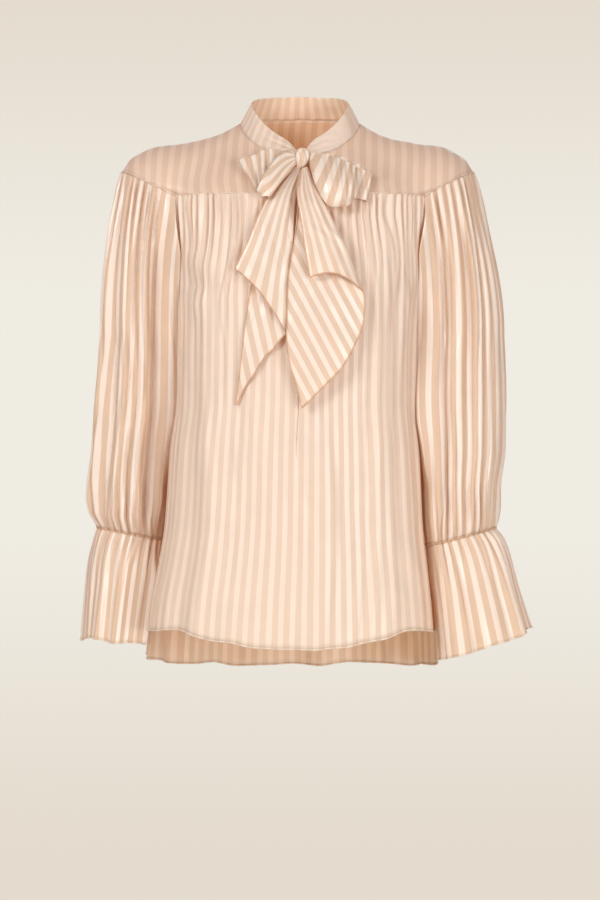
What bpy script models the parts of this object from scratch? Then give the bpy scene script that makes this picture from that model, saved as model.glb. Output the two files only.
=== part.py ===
"""A blouse with a tied bow collar, worn hollow and empty.

Metres, +Z up. The blouse faces -Y and the wearer's left is at +X. The origin is the middle of the neck at the
height of the shoulders, where a neck and shoulders carry the blouse. Every piece of cloth is a wall of one
thickness round a middle surface. The middle surfaces come from a few tables of sections: rings for the body,
rings for each sleeve and cuff, and the edges of each loop and end of the bow. Gathers are ripples on them.
"""

import math

import bpy
import numpy as np

WALL = 0.0014  # thickness of the cloth walls
SEAM = 0.0005  # from the edge of one middle surface to the next across a seam
SIDES = {"left": 1, "right": -1}  # the wearer's sides, by the sign of X


class Table:
    """Rows with named columns. Between the rows, a monotone cubic curve in the first column."""

    def __init__(self, names, *rows):
        self.names = names.split()
        self.rows = np.array(rows, float)

    def at(self, name, where):
        """The named column where the first column has these values; past the ends, the end's value."""
        x, y = self.rows[:, 0], self.rows[:, self.names.index(name)]
        gap = np.diff(x)
        slope = np.diff(y) / gap
        same = slope[1:] * slope[:-1] > 0
        total = np.where(same, slope[1:] + slope[:-1], 1.0)
        inner = np.where(same, 2 * slope[1:] * slope[:-1] / total, 0.0)
        lean = np.concatenate([slope[:1], inner, slope[-1:]])
        where = np.clip(np.asarray(where, float), x[0], x[-1])
        i = np.clip(np.searchsorted(x, where, side="right") - 1, 0, len(gap) - 1)
        t = (where - x[i]) / gap[i]
        start = (1 + 2 * t) * (1 - t) ** 2 * y[i] + t * (1 - t) ** 2 * gap[i] * lean[i]
        end = t * t * (3 - 2 * t) * y[i + 1] - t * t * (1 - t) * gap[i] * lean[i + 1]
        return start + end


# Body: one ring for each height. The centre is off the middle line, because the blouse hangs a little askew.
TORSO = Table(
    "height centre half_width front_depth back_depth",
    (-0.690, -0.0105, 0.1840, 0.130, 0.124),
    (-0.630, -0.0095, 0.1805, 0.129, 0.121),
    (-0.590, -0.0085, 0.1765, 0.128, 0.118),
    (-0.540, -0.0065, 0.1690, 0.126, 0.114),
    (-0.500, -0.0055, 0.1635, 0.124, 0.111),
    (-0.400, -0.0045, 0.1570, 0.122, 0.107),
    (-0.340, -0.0035, 0.1515, 0.122, 0.105),
    (-0.260, -0.0020, 0.1520, 0.125, 0.105),
    (-0.215, -0.0010, 0.1540, 0.125, 0.106),
    (-0.160, 0.0, 0.1620, 0.121, 0.105),
    (-0.120, 0.0, 0.1710, 0.115, 0.102),
    (-0.091, 0.0, 0.1770, 0.107, 0.098),
    (-0.060, 0.0, 0.1800, 0.088, 0.092),
    (-0.030, 0.0, 0.1800, 0.068, 0.085),
)
SQUARENESS = 0.15  # how far the rings are fuller than ellipses
UNDERARM = -0.215
CORNER = math.radians(55)  # where the yoke's seam meets the armhole, from the centre front or the centre back

# Armhole: how far round from the centre front or back a body panel reaches, by the share of its depth.
ARMHOLE = Table(
    "share angle",
    (0, 55),
    (0.07, 56.5),
    (0.23, 60.5),
    (0.56, 69),
    (0.80, 77),
    (0.92, 83),
    (1, 90),
)

# Yoke: its neck edge, the height of its seams, and how far the shoulder line rises over a straight one.
NECK = {"half_width": 0.074, "front": 0.076, "back": 0.063}
NECK_HEIGHT = Table(
    "angle height",
    (0, -0.045),
    (30, -0.036),
    (60, -0.016),
    (90, 0.006),
    (135, 0.016),
    (180, 0.020),
)
FRONT_SEAM = -0.091
BACK_SEAM = Table("angle height", (0, -0.114), (30, -0.112), (55, -0.105))
TIP = {"left": (0.2165, 0.000, -0.055), "right": (0.2225, 0.000, -0.055)}  # out from the middle, Y, Z
SHOULDER_RISE = Table(
    "share rise",
    (0, 0),
    (0.20, -0.0025),
    (0.5, 0.0045),
    (0.77, 0.0152),
    (0.92, 0.0128),
    (1, 0),
)
RISE_START = math.radians(15)  # the shoulder's rise grows from this angle round the neck to the shoulder
BACK_FULLNESS = 0.007
YOKE_ROWS = (0, 0.2, 0.42, 0.64, 0.82, 0.93, 1)  # from the neck to the lower edge
YOKE_SEAM_COLUMNS, YOKE_SLANT_COLUMNS = 7, 6  # along the body's seam, and from there to the shoulder
YOKE_GAP_ANGLE = 0.004  # half the gap between two yokes, as an angle round the neck

# Collar: the upper edge of the standing band.
COLLAR_TOP = {"half_width": 0.0605, "front": 0.058, "back": 0.048}
COLLAR_HEIGHT = Table(
    "angle height",
    (0, -0.031),
    (36, -0.008),
    (60, 0.012),
    (90, 0.031),
    (135, 0.043),
    (180, 0.047),
)
COLLAR_END_ANGLES = np.radians((1, 4, 8, 13, 19))  # the stretch of each end that runs forward into the knot
COLLAR_END_HEIGHT, COLLAR_END_APART, COLLAR_END_RISE = 0.007, 0.0046, 0.0037
COLLAR_LIFT = 0.0011  # the band's lower edge over the yoke's

# Hems, by the share of the way from the middle of the panel to its side; minus is the wearer's right.
FRONT_HEM = Table(
    "share height",
    (-1, -0.6275),
    (-0.55, -0.6235),
    (-0.3, -0.6350),
    (0, -0.6445),
    (0.15, -0.6445),
    (0.35, -0.6340),
    (0.55, -0.6235),
    (1, -0.6275),
)
BACK_HEM = Table("share height", (-1, -0.656), (-0.8, -0.668), (0, -0.676), (0.8, -0.674), (1, -0.660))
SLIT = 0.318  # length of the centre-front slit below the yoke

# Gathers and folds.
FRONT_GATHERS, BACK_GATHERS = 28, 26
GATHER_DEPTH = Table(
    "down depth",
    (0, 0.0009),
    (0.006, 0.0016),
    (0.02, 0.0023),
    (0.05, 0.0019),
    (0.14, 0.0006),
    (0.2, 0),
)
BODY_ROWS = (0, 0.007, 0.018, 0.036, 0.062, 0.098, 0.142, 0.198, 0.256, SLIT, 0.395, 0.47)  # then the hem
FULL_ROWS = 7  # body rows with two columns a gather; the rows below have one
BACK_WAVES, BACK_WAVE_DEPTH = 7, 0.0065
FRONT_FOLDS = (  # place across the panel, width, depth at the hem
    (-0.80, 0.09, 0.0030),
    (-0.52, 0.08, -0.0030),
    (-0.18, 0.07, 0.0025),
    (0.30, 0.08, -0.0030),
    (0.62, 0.08, 0.0030),
    (0.84, 0.08, -0.0025),
)

# Sleeves: rings from the upper arm to the wrist. Inner and outer are distances from the middle line.
SLEEVE = {
    "left": Table(
        "height inner outer depth sway",
        (-0.510, 0.1615, 0.2405, 0.0400, -0.032),
        (-0.503, 0.1610, 0.2430, 0.0450, -0.032),
        (-0.488, 0.1590, 0.2455, 0.0510, -0.031),
        (-0.460, 0.1570, 0.2465, 0.0560, -0.030),
        (-0.400, 0.1535, 0.2515, 0.0590, -0.026),
        (-0.340, 0.1500, 0.2535, 0.0600, -0.018),
        (-0.260, 0.1535, 0.2520, 0.0600, -0.006),
    ),
    "right": Table(
        "height inner outer depth sway",
        (-0.507, 0.1720, 0.2545, 0.0400, 0.036),
        (-0.500, 0.1715, 0.2570, 0.0450, 0.036),
        (-0.485, 0.1700, 0.2635, 0.0510, 0.035),
        (-0.460, 0.1670, 0.2645, 0.0560, 0.034),
        (-0.400, 0.1620, 0.2600, 0.0590, 0.028),
        (-0.340, 0.1570, 0.2560, 0.0600, 0.020),
        (-0.260, 0.1570, 0.2505, 0.0600, 0.006),
    ),
}
SLEEVE_TOP_RING = -0.260
HEAD_ROWS = (0, 0.035, 0.09, 0.19, 0.38, 0.68)
HEAD_COLUMNS, UNDER_COLUMNS = 20, 6  # columns of a quarter: along the head's gathers, and along the underarm
HEAD_DEPTH = Table("share depth", (0, 0.0008), (0.035, 0.0016), (0.12, 0.0024), (0.5, 0.0017), (1, 0.0012))
ARM_DEPTH = Table(
    "height depth",
    (-0.51, 0.0009),
    (-0.503, 0.0018),
    (-0.485, 0.0022),
    (-0.40, 0.0014),
    (-0.26, 0.0012),
)
SLEEVE_SEAM = Table(  # from the armhole's edge to the sleeve's
    "turn out down",
    (0, 0.0007, 0.0011),
    (1, 0.0013, 0.0007),
    (1.4, 0.0013, 0),
    (2, 0.0021, 0),
)
SLEEVE_FOLDS = {  # angle round the arm from its outer side towards the front, width, depth
    "left": (
        (35, 11, 0.0035),
        (88, 10, -0.0055),
        (150, 12, -0.0050),
        (215, 12, -0.0040),
        (275, 12, -0.0050),
    ),
    "right": (
        (30, 10, 0.0030),
        (90, 10, -0.0055),
        (120, 10, -0.0055),
        (220, 12, -0.0040),
        (280, 12, -0.0050),
    ),
}

# Wrist and cuff. The wrist's ring and the cuff's hem slant from the outer side to the inner.
WRIST = {"left": (-0.4990, -0.5210), "right": (-0.4990, -0.5150)}
CUFF_HEM = {"left": (-0.6200, -0.6640), "right": (-0.6380, -0.6456)}
CUFF = {
    "left": Table(
        "down inner outer depth sway",
        (0, 0.1615, 0.2405, 0.0400, -0.032),
        (0.12, 0.1632, 0.2510, 0.0430, -0.032),
        (0.3, 0.1660, 0.2605, 0.0465, -0.033),
        (0.6, 0.1710, 0.2690, 0.0510, -0.034),
        (1, 0.1755, 0.2835, 0.0560, -0.035),
    ),
    "right": Table(
        "down inner outer depth sway",
        (0, 0.1720, 0.2545, 0.0400, 0.036),
        (0.12, 0.1750, 0.2600, 0.0430, 0.036),
        (0.3, 0.1792, 0.2655, 0.0455, 0.037),
        (0.6, 0.1855, 0.2685, 0.0480, 0.038),
        (1, 0.1925, 0.2725, 0.0510, 0.040),
    ),
}
CUFF_ROWS = (0, 0.05, 0.13, 0.27, 0.5, 0.76, 1)
CUFF_FULL_ROWS = 3
CUFF_WAVES, CUFF_WAVE_DEPTH = 8, 0.0032
CUFF_GATHER = Table("down depth", (0, 0.0009), (0.05, 0.0017), (0.13, 0.0012), (0.3, 0.0))

# Bow, in millimetres: X and Z of edges as seen from the front, and how far they stand off the front.
KNOT_CENTRE, KNOT_HALF = (0.0032, -0.0490), (0.0082, 0.0080, 0.0110)
KNOT_OFF = 0.0130
LOOP = {
    "left": Table(
        "along top_x top_z low_x low_z off",
        (0, 11.7, -42.5, 11.7, -55.0, 9),
        (0.15, 34, -42, 30, -76, 5),
        (0.35, 74, -56, 66, -92, 4),
        (0.45, 88, -69, 82, -103, 5),
        (0.52, 86, -66, 80, -100, 10),
        (0.62, 70, -60, 64, -100, 16),
        (0.80, 52, -52, 42, -108, 25),
        (0.90, 33, -45, 26, -90, 24),
        (1, 11.7, -42.0, 11.7, -56.0, 15),
    ),
    "right": Table(
        "along top_x top_z low_x low_z off",
        (0, -5.6, -42.5, -5.6, -55.0, 9),
        (0.15, -22, -38, -20, -70, 5),
        (0.35, -52, -41, -42, -84, 4),
        (0.47, -77, -50, -50, -92, 6),
        (0.53, -77, -50, -50, -93, 11),
        (0.65, -58, -45, -47, -98, 18),
        (0.80, -38, -37, -38, -98, 23),
        (0.90, -21, -37, -19, -74, 21),
        (1, -5.6, -42.0, -5.6, -56.0, 15),
    ),
}
TIE = {  # the two edges and the lengthwise fold between them, from the knot down to the slanting end
    "left": Table(
        "down edge_x edge_z fold_x fold_z rear_x rear_z",
        (0, 2.4, -60.9, 8.6, -58.7, 3.0, -60.8),
        (0.25, -3.6, -91.8, 24.8, -97.8, -6, -147.1),
        (0.5, 1.2, -125.5, 40.5, -129.1, -14, -205.0),
        (0.75, 6.0, -160.4, 58.3, -166.4, -16, -274.0),
        (1, 12.0, -197.7, 75.9, -213.4, 2.4, -353.0),
    ),
    "right": Table(
        "down edge_x edge_z fold_x fold_z rear_x rear_z",
        (0, -3.2, -57.9, 0.7, -60.6, -3.0, -57.9),
        (0.25, -27, -87, -6.0, -108.6, -33.7, -133.9),
        (0.5, -47, -118.2, -8.4, -158.0, -58, -202.5),
        (0.75, -62.6, -153.2, -14.4, -206.1, -68.6, -274.8),
        (1, -78.3, -185.7, -15.7, -265.1, -77.1, -349.4),
    ),
}
TIE_OFF = {"left": (24, 18, 13), "right": (11, 8, 5)}  # edge, fold and rear, in millimetres off the front
TIE_TOP_OFF, TIE_TOP_SPREAD = 6.5, 0.2  # at the knot: the layers' offset, and the share of their spread left
TIE_BELLY = {"left": 15, "right": 0}  # how far the rear layer's end bulges outward, in millimetres

CLOTH = (0.93, 0.74, 0.60, 1)
CLOTH_ROUGHNESS = 0.45


def unit(vectors):
    return vectors / np.linalg.norm(vectors, axis=-1, keepdims=True)


def ring(angle, height, off=0.0):
    """The body's surface: a slightly squared ellipse at each height, with a depth for each half."""
    cos, sin = np.cos(angle), np.sin(angle)
    depth = np.where(cos > 0, TORSO.at("front_depth", height), TORSO.at("back_depth", height)) + off
    x = TORSO.at("centre", height) + (TORSO.at("half_width", height) + off) * sin * (1 + SQUARENESS * cos**2)
    return np.stack([x, -depth * cos * (1 + SQUARENESS * sin**2), height + 0 * x], axis=-1)


def on_front(x, height, off):
    """The point off the body's front at this X and height: Newton's rule finds the angle of that X."""
    half = TORSO.at("half_width", height)
    share = (x - TORSO.at("centre", height)) / half
    angle = np.arcsin(np.clip(share, -1, 1))
    for _ in range(5):
        cos, sin = np.cos(angle), np.sin(angle)
        wrong = sin * (1 + SQUARENESS * cos**2) - share
        angle = angle - wrong / (cos * (1 + SQUARENESS * cos**2) - 2 * SQUARENESS * sin**2 * cos)
    point = ring(angle, height)
    return point + np.stack([0 * off, -off, 0 * off], axis=-1)


def neck_edge(angle, size, heights):
    """An egg-shaped edge round the neck, with its height from a table."""
    cos = np.cos(angle)
    depth = np.where(cos > 0, size["front"], size["back"])
    height = heights.at("height", np.degrees(np.abs(angle)))
    return np.stack([size["half_width"] * np.sin(angle), -depth * cos, height], axis=-1)


def yoke_edge(angle, side):
    """The yoke's lower edge: along the body's seam, then a quarter ellipse up to the shoulder."""
    ahead = np.abs(angle) <= math.pi / 2
    turn = np.where(ahead, np.abs(angle), math.pi - np.abs(angle))
    seam = np.where(ahead, FRONT_SEAM, BACK_SEAM.at("height", np.degrees(turn)))
    seam_turn = np.clip(turn, 0, CORNER)
    along = ring(np.where(ahead, seam_turn, math.pi - seam_turn), seam)
    lift = np.clip((turn - CORNER) / (math.pi / 2 - CORNER), 0, 1) * math.pi / 2
    tip = np.array(TIP[side])
    point = along + (tip - along) * np.sin(lift)[..., None]
    point[..., 1] = tip[1] + (along[..., 1] - tip[1]) * np.cos(lift)
    point[..., 0] *= SIDES[side]
    return point


def yoke(angle, share, side):
    """Between the neck and the lower edge, with the shoulder's rise and the upper back's fullness."""
    inner = neck_edge(np.abs(angle), NECK, NECK_HEIGHT)
    inner[..., 0] *= SIDES[side]
    outer = yoke_edge(angle, side)
    point = inner + (outer - inner) * share[..., None]
    turn = np.where(np.abs(angle) > math.pi / 2, math.pi - np.abs(angle), np.abs(angle))
    weight = np.clip((turn - RISE_START) / (math.pi / 2 - RISE_START), 0, 1) ** 1.5
    point[..., 2] += weight * SHOULDER_RISE.at("rise", share)
    point[..., 1] += (np.abs(angle) > math.pi / 2) * (1 - weight) * BACK_FULLNESS * 4 * share * (1 - share)
    return point


def normals_of(points, faces):
    """The mean of the faces' normals at each point, weighted by area."""
    a, b, c = (points[faces[:, i]] for i in range(3))
    total = np.zeros_like(points)
    for i in range(3):
        np.add.at(total, faces[:, i], np.cross(b - a, c - a))
    return unit(total)


def strip(upper, lower):
    """The triangles between two rows of indices, the lower one with as many columns or half as many."""
    if len(upper) == len(lower):
        a, b, c, d = upper[:-1], upper[1:], lower[1:], lower[:-1]
        even = np.arange(len(a)) % 2 == 0
        first = np.where(even[:, None], np.stack([a, d, c], 1), np.stack([a, d, b], 1))
        second = np.where(even[:, None], np.stack([a, c, b], 1), np.stack([b, d, c], 1))
        return np.concatenate([first, second])
    if len(upper) < len(lower):
        return strip(lower, upper)[:, ::-1]
    a, b, c, d, e = upper[:-2:2], upper[1:-1:2], upper[2::2], lower[:-1], lower[1:]
    return np.concatenate([np.stack(t, 1) for t in ((a, d, b), (b, d, e), (b, e, c))])


def rows_of(grid, keep, closed=False):
    """Points and rows of indices of a grid, every second column of the rows from keep on left out."""
    points, rows, start = [], [], 0
    for i, row in enumerate(grid):
        row = row if i < keep else row[::2]
        index = start + np.arange(len(row))
        rows.append(np.append(index, start) if closed else index)
        points.append(row)
        start += len(row)
    return np.concatenate(points), rows


def sheet(grid, keep=999, closed=False):
    points, rows = rows_of(grid, keep, closed)
    return points, np.concatenate([strip(a, b) for a, b in zip(rows, rows[1:])])


def joined_sheets(left, right, slit_rows, keep):
    """Two sheets that share a middle column below the slit: the left one's first and the right one's last."""
    points_l, rows_l = rows_of(left, keep)
    points_r, rows_r = rows_of(right, keep)
    faces = []
    offset = len(points_l)
    rows_r = [row + offset for row in rows_r]
    for i in range(slit_rows, len(rows_l)):
        rows_r[i] = np.append(rows_r[i][:-1], rows_l[i][0])
    for rows in (rows_l, rows_r):
        faces += [strip(a, b) for a, b in zip(rows, rows[1:])]
    faces = np.concatenate(faces)
    used, faces = np.unique(faces, return_inverse=True)
    return np.concatenate([points_l, points_r])[used], faces.reshape(-1, 3)


def wall(points, faces, level=slice(0, 0)):
    """A closed wall: the sheet moved out and in by half its thickness, and a rim along every free edge.

    The points named by level are moved sideways only, so that a rim there is level.
    """
    normals = normals_of(points, faces)
    normals[level, 2] = 0
    out = unit(normals) * WALL / 2
    count = len(points)
    ends = np.concatenate([faces[:, [0, 1]], faces[:, [1, 2]], faces[:, [2, 0]]])
    code = ends[:, 0] * count + ends[:, 1]
    free = ends[~np.isin(code, ends[:, 1] * count + ends[:, 0])]
    a, b = free[:, 0], free[:, 1]
    rim = np.concatenate([np.stack([b, a, a + count], 1), np.stack([b, a + count, b + count], 1)])
    return np.concatenate([points + out, points - out]), np.concatenate([faces, faces[:, ::-1] + count, rim])


def cloth_material():
    material = bpy.data.materials.new("striped_silk")
    material.use_nodes = True
    shader = material.node_tree.nodes["Principled BSDF"]
    shader.inputs["Base Color"].default_value = CLOTH
    shader.inputs["Roughness"].default_value = CLOTH_ROUGHNESS
    shader.inputs["Metallic"].default_value = 0.0
    return material


def add(name, points, faces, material, parent):
    mesh = bpy.data.meshes.new(name)
    mesh.from_pydata(points.tolist(), [], faces.tolist())
    mesh.shade_smooth()
    mesh.set_sharp_from_angle(angle=math.radians(60))
    mesh.materials.append(material)
    piece = bpy.data.objects.new(name, mesh)
    piece.parent = parent
    bpy.context.scene.collection.objects.link(piece)
    return piece


def bumps(place, folds, period=None):
    """Soft ridges and troughs: a bell for each fold, by its place, width and depth."""
    total = np.zeros_like(place)
    for centre, width, depth in folds:
        away = place - centre
        if period:
            away = (away + period / 2) % period - period / 2
        total += depth * np.exp(-((away / width) ** 2))
    return total


def reach(height, behind):
    """How far round a body panel reaches: to the armhole's edge, and below it to the side seam."""
    seam = BACK_SEAM.at("height", np.degrees(CORNER)) if behind else FRONT_SEAM
    return np.radians(ARMHOLE.at("angle", (seam - height) / (seam - UNDERARM)))


def outward(angle):
    """The level direction out of a ring of the body."""
    x = np.sin(angle) * (1 + SQUARENESS * np.cos(angle) ** 2)
    y = -np.cos(angle) * (1 + SQUARENESS * np.sin(angle) ** 2)
    return unit(np.stack([x, y, 0 * x], axis=-1))


def body_panel(share, behind):
    """A grid of a front or back, from the yoke's seam down. Share is 0 in the middle, 1 or -1 at a side."""
    share = share[None, :]
    back_seam = BACK_SEAM.at("height", np.abs(share) * np.degrees(CORNER))
    top = (back_seam if behind else FRONT_SEAM + 0 * share) - SEAM
    hem = (BACK_HEM if behind else FRONT_HEM).at("height", share)
    down = np.concatenate([np.array(BODY_ROWS)[:, None] + 0 * share, top - hem])
    height = top - down
    side_gap = (np.abs(share) == 1) * SEAM / 2 / TORSO.at("half_width", height)
    angle = share * (reach(height, behind) - side_gap)
    if behind:
        angle = math.pi - angle
        grown = np.clip((down - 0.15) / 0.4, 0, 1) ** 1.3 * (1 - share**4)
        folds = BACK_WAVE_DEPTH * np.cos(share * math.pi * BACK_WAVES) * grown
    else:
        folds = bumps(share, FRONT_FOLDS) * np.clip((down - 0.1) / 0.4, 0, 1) * (1 - share**8)
    ripple = zigzag(share.shape[1]) * GATHER_DEPTH.at("depth", down) * (np.abs(share) < 1)
    return ring(angle, height) + outward(angle) * (folds + ripple)[..., None]


def zigzag(count):
    """1 and -1 in turn: two columns for each gather."""
    return np.where(np.arange(count) % 2 == 0, 1, -1)


def front():
    """The gathered front, slit down its middle from the yoke."""
    share = np.linspace(0, 1, FRONT_GATHERS + 1)
    left, right = body_panel(share, False), body_panel(-share[::-1], False)
    slit_rows = BODY_ROWS.index(SLIT)
    left[:slit_rows, 0, 0] += SEAM / 2
    right[:slit_rows, -1, 0] -= SEAM / 2
    return wall(*joined_sheets(left, right, slit_rows, FULL_ROWS))


def back():
    """The gathered back, with waves that grow towards its longer hem."""
    return wall(*sheet(body_panel(np.linspace(1, -1, 2 * BACK_GATHERS + 1), True), FULL_ROWS))


def yoke_angles(middle_gap):
    """Angles from the middle of the neck to the shoulder, with a column where the seam meets the armhole."""
    along = np.linspace(middle_gap, CORNER, YOKE_SEAM_COLUMNS + 1)
    slant = np.linspace(CORNER, math.pi / 2 - YOKE_GAP_ANGLE, YOKE_SLANT_COLUMNS + 1)
    return np.concatenate([along, slant[1:]])


def yoke_front(side):
    sign = SIDES[side]
    angle, share = np.meshgrid(yoke_angles(YOKE_GAP_ANGLE)[::sign], YOKE_ROWS)
    return wall(*sheet(yoke(angle * sign, share, side)))


def yoke_back():
    """The one-piece back yoke: its left half from the shoulder to the middle, then its right half."""
    half = math.pi - yoke_angles(0)
    grids = []
    for side, order in (("left", -1), ("right", 1)):
        angle, share = np.meshgrid(half[::order], YOKE_ROWS)
        grids.append(yoke(angle, share, side))
    return wall(*sheet(np.concatenate([grids[0], grids[1][:, 1:]], axis=1)))


def collar():
    """The standing band, open at the front, where its two ends draw in and run forward into the knot."""
    angle = np.concatenate([COLLAR_END_ANGLES, np.linspace(COLLAR_END_ANGLES[-1], math.pi, 13)[1:]])
    angle = np.concatenate([angle, 2 * math.pi - angle[-2::-1]])
    turn = np.where(angle > math.pi, angle - 2 * math.pi, angle)
    low, high = neck_edge(turn, NECK, NECK_HEIGHT), neck_edge(turn, COLLAR_TOP, COLLAR_HEIGHT)
    low = low + unit(high - low) * COLLAR_LIFT
    first, last = COLLAR_END_ANGLES[[0, -1]]
    pull = np.clip((last - np.abs(turn)) / (last - first), 0, 1)
    pull = (pull * pull * (3 - 2 * pull))[:, None]
    behind = on_front(*KNOT_CENTRE, KNOT_OFF - KNOT_HALF[1] - SEAM)
    ends = behind + np.sign(turn)[:, None] * (COLLAR_END_APART / 2, 0, 0)
    low = low + (ends - (0, 0, COLLAR_END_HEIGHT / 2) - low) * pull
    low[:, 2:] += COLLAR_END_RISE * np.sin(pull * math.pi)
    high = high + (ends + (0, 0, COLLAR_END_HEIGHT / 2) - high) * pull
    share = np.array([1, 0.5, 0])[:, None, None]
    return wall(*sheet(low + (high - low) * share))


def armhole(side):
    """The armhole's edge, from the shoulder by the front to the underarm and up the back, and its turns."""
    sign = SIDES[side]
    head = np.linspace(math.pi / 2, CORNER, HEAD_COLUMNS + 1)[:-1]
    under = np.linspace(0, 1, UNDER_COLUMNS + 1)
    points, turns = [], []
    for behind in (False, True):
        seam = BACK_SEAM.at("height", np.degrees(CORNER)) if behind else FRONT_SEAM
        height = seam + (UNDERARM - seam) * under
        turn = reach(height, behind)
        side_edge = ring(sign * (math.pi - turn if behind else turn), height)
        slant = yoke_edge(sign * (math.pi - head if behind else head), side)
        half = np.concatenate([slant, side_edge])
        turn = np.concatenate([np.linspace(0, 1, HEAD_COLUMNS + 1)[:-1], 1 + under])
        points.append(half[:0:-1] if behind else half)
        turns.append(turn[:0:-1] if behind else turn)
    points, turns = np.concatenate([points[0][:-1], points[1]]), np.concatenate([turns[0][:-1], turns[1]])
    points[:, 0] += sign * SLEEVE_SEAM.at("out", turns)
    points[:, 2] -= SLEEVE_SEAM.at("down", turns)
    return points, turns


def arm_ring(table, where, height, round_arm, side):
    """An ellipse round the arm: 0 is the outer side, a quarter turn the front and half a turn the body's."""
    inner, outer = table.at("inner", where), table.at("outer", where)
    x = (inner + outer) / 2 + (outer - inner) / 2 * np.cos(round_arm)
    y = table.at("sway", where) - table.at("depth", where) * np.sin(round_arm)
    return np.stack([SIDES[side] * x, y, height + 0 * x], axis=-1)


def slanted(ends, round_arm):
    """Heights on a plane that slants from the outer side to the inner."""
    outer, inner = ends
    return (outer + inner) / 2 + (outer - inner) / 2 * np.cos(round_arm)


def calm(round_arm):
    """How much of a ripple's depth is left: little where the arm's cloth lies against the body."""
    return 1 - 0.75 * np.exp(-(((round_arm - math.pi) / 0.45) ** 2))


def sleeve(side):
    loop, turns = armhole(side)
    count = len(loop)
    round_arm = np.arange(count) * 2 * math.pi / count
    table = SLEEVE[side]
    first = arm_ring(table, SLEEVE_TOP_RING, SLEEVE_TOP_RING, round_arm, side)
    chord = np.linalg.norm(first - loop, axis=1, keepdims=True)
    sign = SIDES[side]
    cos, sin = np.cos(round_arm), np.sin(round_arm)
    leave = np.stack([sign * (0.22 + 0.10 * cos), -0.35 * sin, -0.9 + 0 * sin], 1)
    leave, arrive = unit(leave) * chord, np.array([0, 0, -1]) * chord
    rows, depths = [], []
    for t in HEAD_ROWS:
        a, b = (1 + 2 * t) * (1 - t) ** 2, t * (1 - t) ** 2
        c, d = t * t * (3 - 2 * t), -t * t * (1 - t)
        rows.append(a * loop + b * leave + c * first + d * arrive)
        depths.append(HEAD_DEPTH.at("depth", t) * np.where(turns < 1.05, 1, 0.35 + 0.65 * t))
    heights = table.rows[::-1, 0]
    low = slanted(WRIST[side], round_arm) + SEAM / 2
    for height in heights:
        near = np.clip((SLEEVE_TOP_RING - height) / (SLEEVE_TOP_RING - heights[-1]), 0, 1)
        slant = near**3 * (low - heights[-1])
        rows.append(arm_ring(table, height, height + slant, round_arm, side))
        depths.append(ARM_DEPTH.at("depth", height) + 0 * round_arm)
    points, depths = np.array(rows), np.array(depths)
    parity = calm(round_arm) * zigzag(count)
    height = points[:, :, 2]
    inside = np.clip((-0.09 - height) / 0.08, 0, 1) * np.clip((height + 0.505) / 0.04, 0, 1)
    folds = inside * bumps(np.degrees(round_arm)[None, :] + 0 * height, SLEEVE_FOLDS[side], 360)
    centre = points.mean(axis=1, keepdims=True)
    out = unit((points - centre) * (1, 1, 0.15))
    points = points + out * (parity * depths + folds)[..., None]
    return wall(*sheet(points[:, ::sign], closed=True), level=slice(-count, None))


def cuff(side):
    count = 2 * (HEAD_COLUMNS + UNDER_COLUMNS)
    round_arm = np.arange(count) * 2 * math.pi / count
    table = CUFF[side]
    parity = calm(round_arm) * zigzag(count)
    rows = []
    for down in CUFF_ROWS:
        height = slanted(WRIST[side], round_arm) * (1 - down) + slanted(CUFF_HEM[side], round_arm) * down
        row = arm_ring(table, down, height - SEAM / 2 * (1 - down), round_arm, side)
        wave = CUFF_WAVE_DEPTH * down * np.cos(CUFF_WAVES * round_arm) * (0.55 + 0.45 * np.cos(round_arm))
        out = unit((row - row.mean(axis=0)) * (1, 1, 0))
        rows.append(row + out * (wave + parity * CUFF_GATHER.at("depth", down))[:, None])
    return wall(*sheet(np.array(rows)[:, :: SIDES[side]], CUFF_FULL_ROWS, closed=True), level=slice(count))


def knot():
    """A solid wrapped knot: an ellipsoid with shallow grooves on the slant, where the band passes."""
    around, up = np.meshgrid(np.linspace(0, 2 * math.pi, 13)[:-1], np.linspace(0, math.pi, 9)[1:-1])
    swell = 1 + 0.07 * np.cos(3 * around + 2 * up) * np.sin(up)
    x = KNOT_HALF[0] * np.sin(up) ** 0.8 * np.cos(around) * swell
    y = KNOT_HALF[1] * np.sin(up) ** 0.8 * np.sin(around) * swell
    centre = on_front(*KNOT_CENTRE, KNOT_OFF)
    grid = np.stack([x, y, KNOT_HALF[2] * np.cos(up)], -1) + centre
    points, faces = sheet(grid, closed=True)
    count, around = len(points), grid.shape[1]
    poles = centre + np.array([[0, 0, KNOT_HALF[2]], [0, 0, -KNOT_HALF[2]]])
    i = np.arange(around)
    j = (i + 1) % around
    top = np.stack([np.full(around, count), i, j], 1)
    last = count - around
    low = np.stack([np.full(around, count + 1), last + j, last + i], 1)
    return np.concatenate([points, poles]), np.concatenate([faces, top, low])


def loop(side):
    """A loop of the bow: a band that runs out behind, turns and comes back in front, wider at its far end."""
    table = LOOP[side]
    along = np.linspace(0, 1, 21)
    share = np.linspace(0, 1, 5)[:, None]
    x = table.at("top_x", along) * (1 - share) + table.at("low_x", along) * share
    z = table.at("top_z", along) * (1 - share) + table.at("low_z", along) * share
    off = table.at("off", along) + 3 * np.sin(share * math.pi) * np.sin(along * math.pi) ** 2 * (along > 0.5)
    grid = on_front(x / 1000, z / 1000, off / 1000)
    return wall(*sheet(grid[:, :: -SIDES[side]]))


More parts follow.
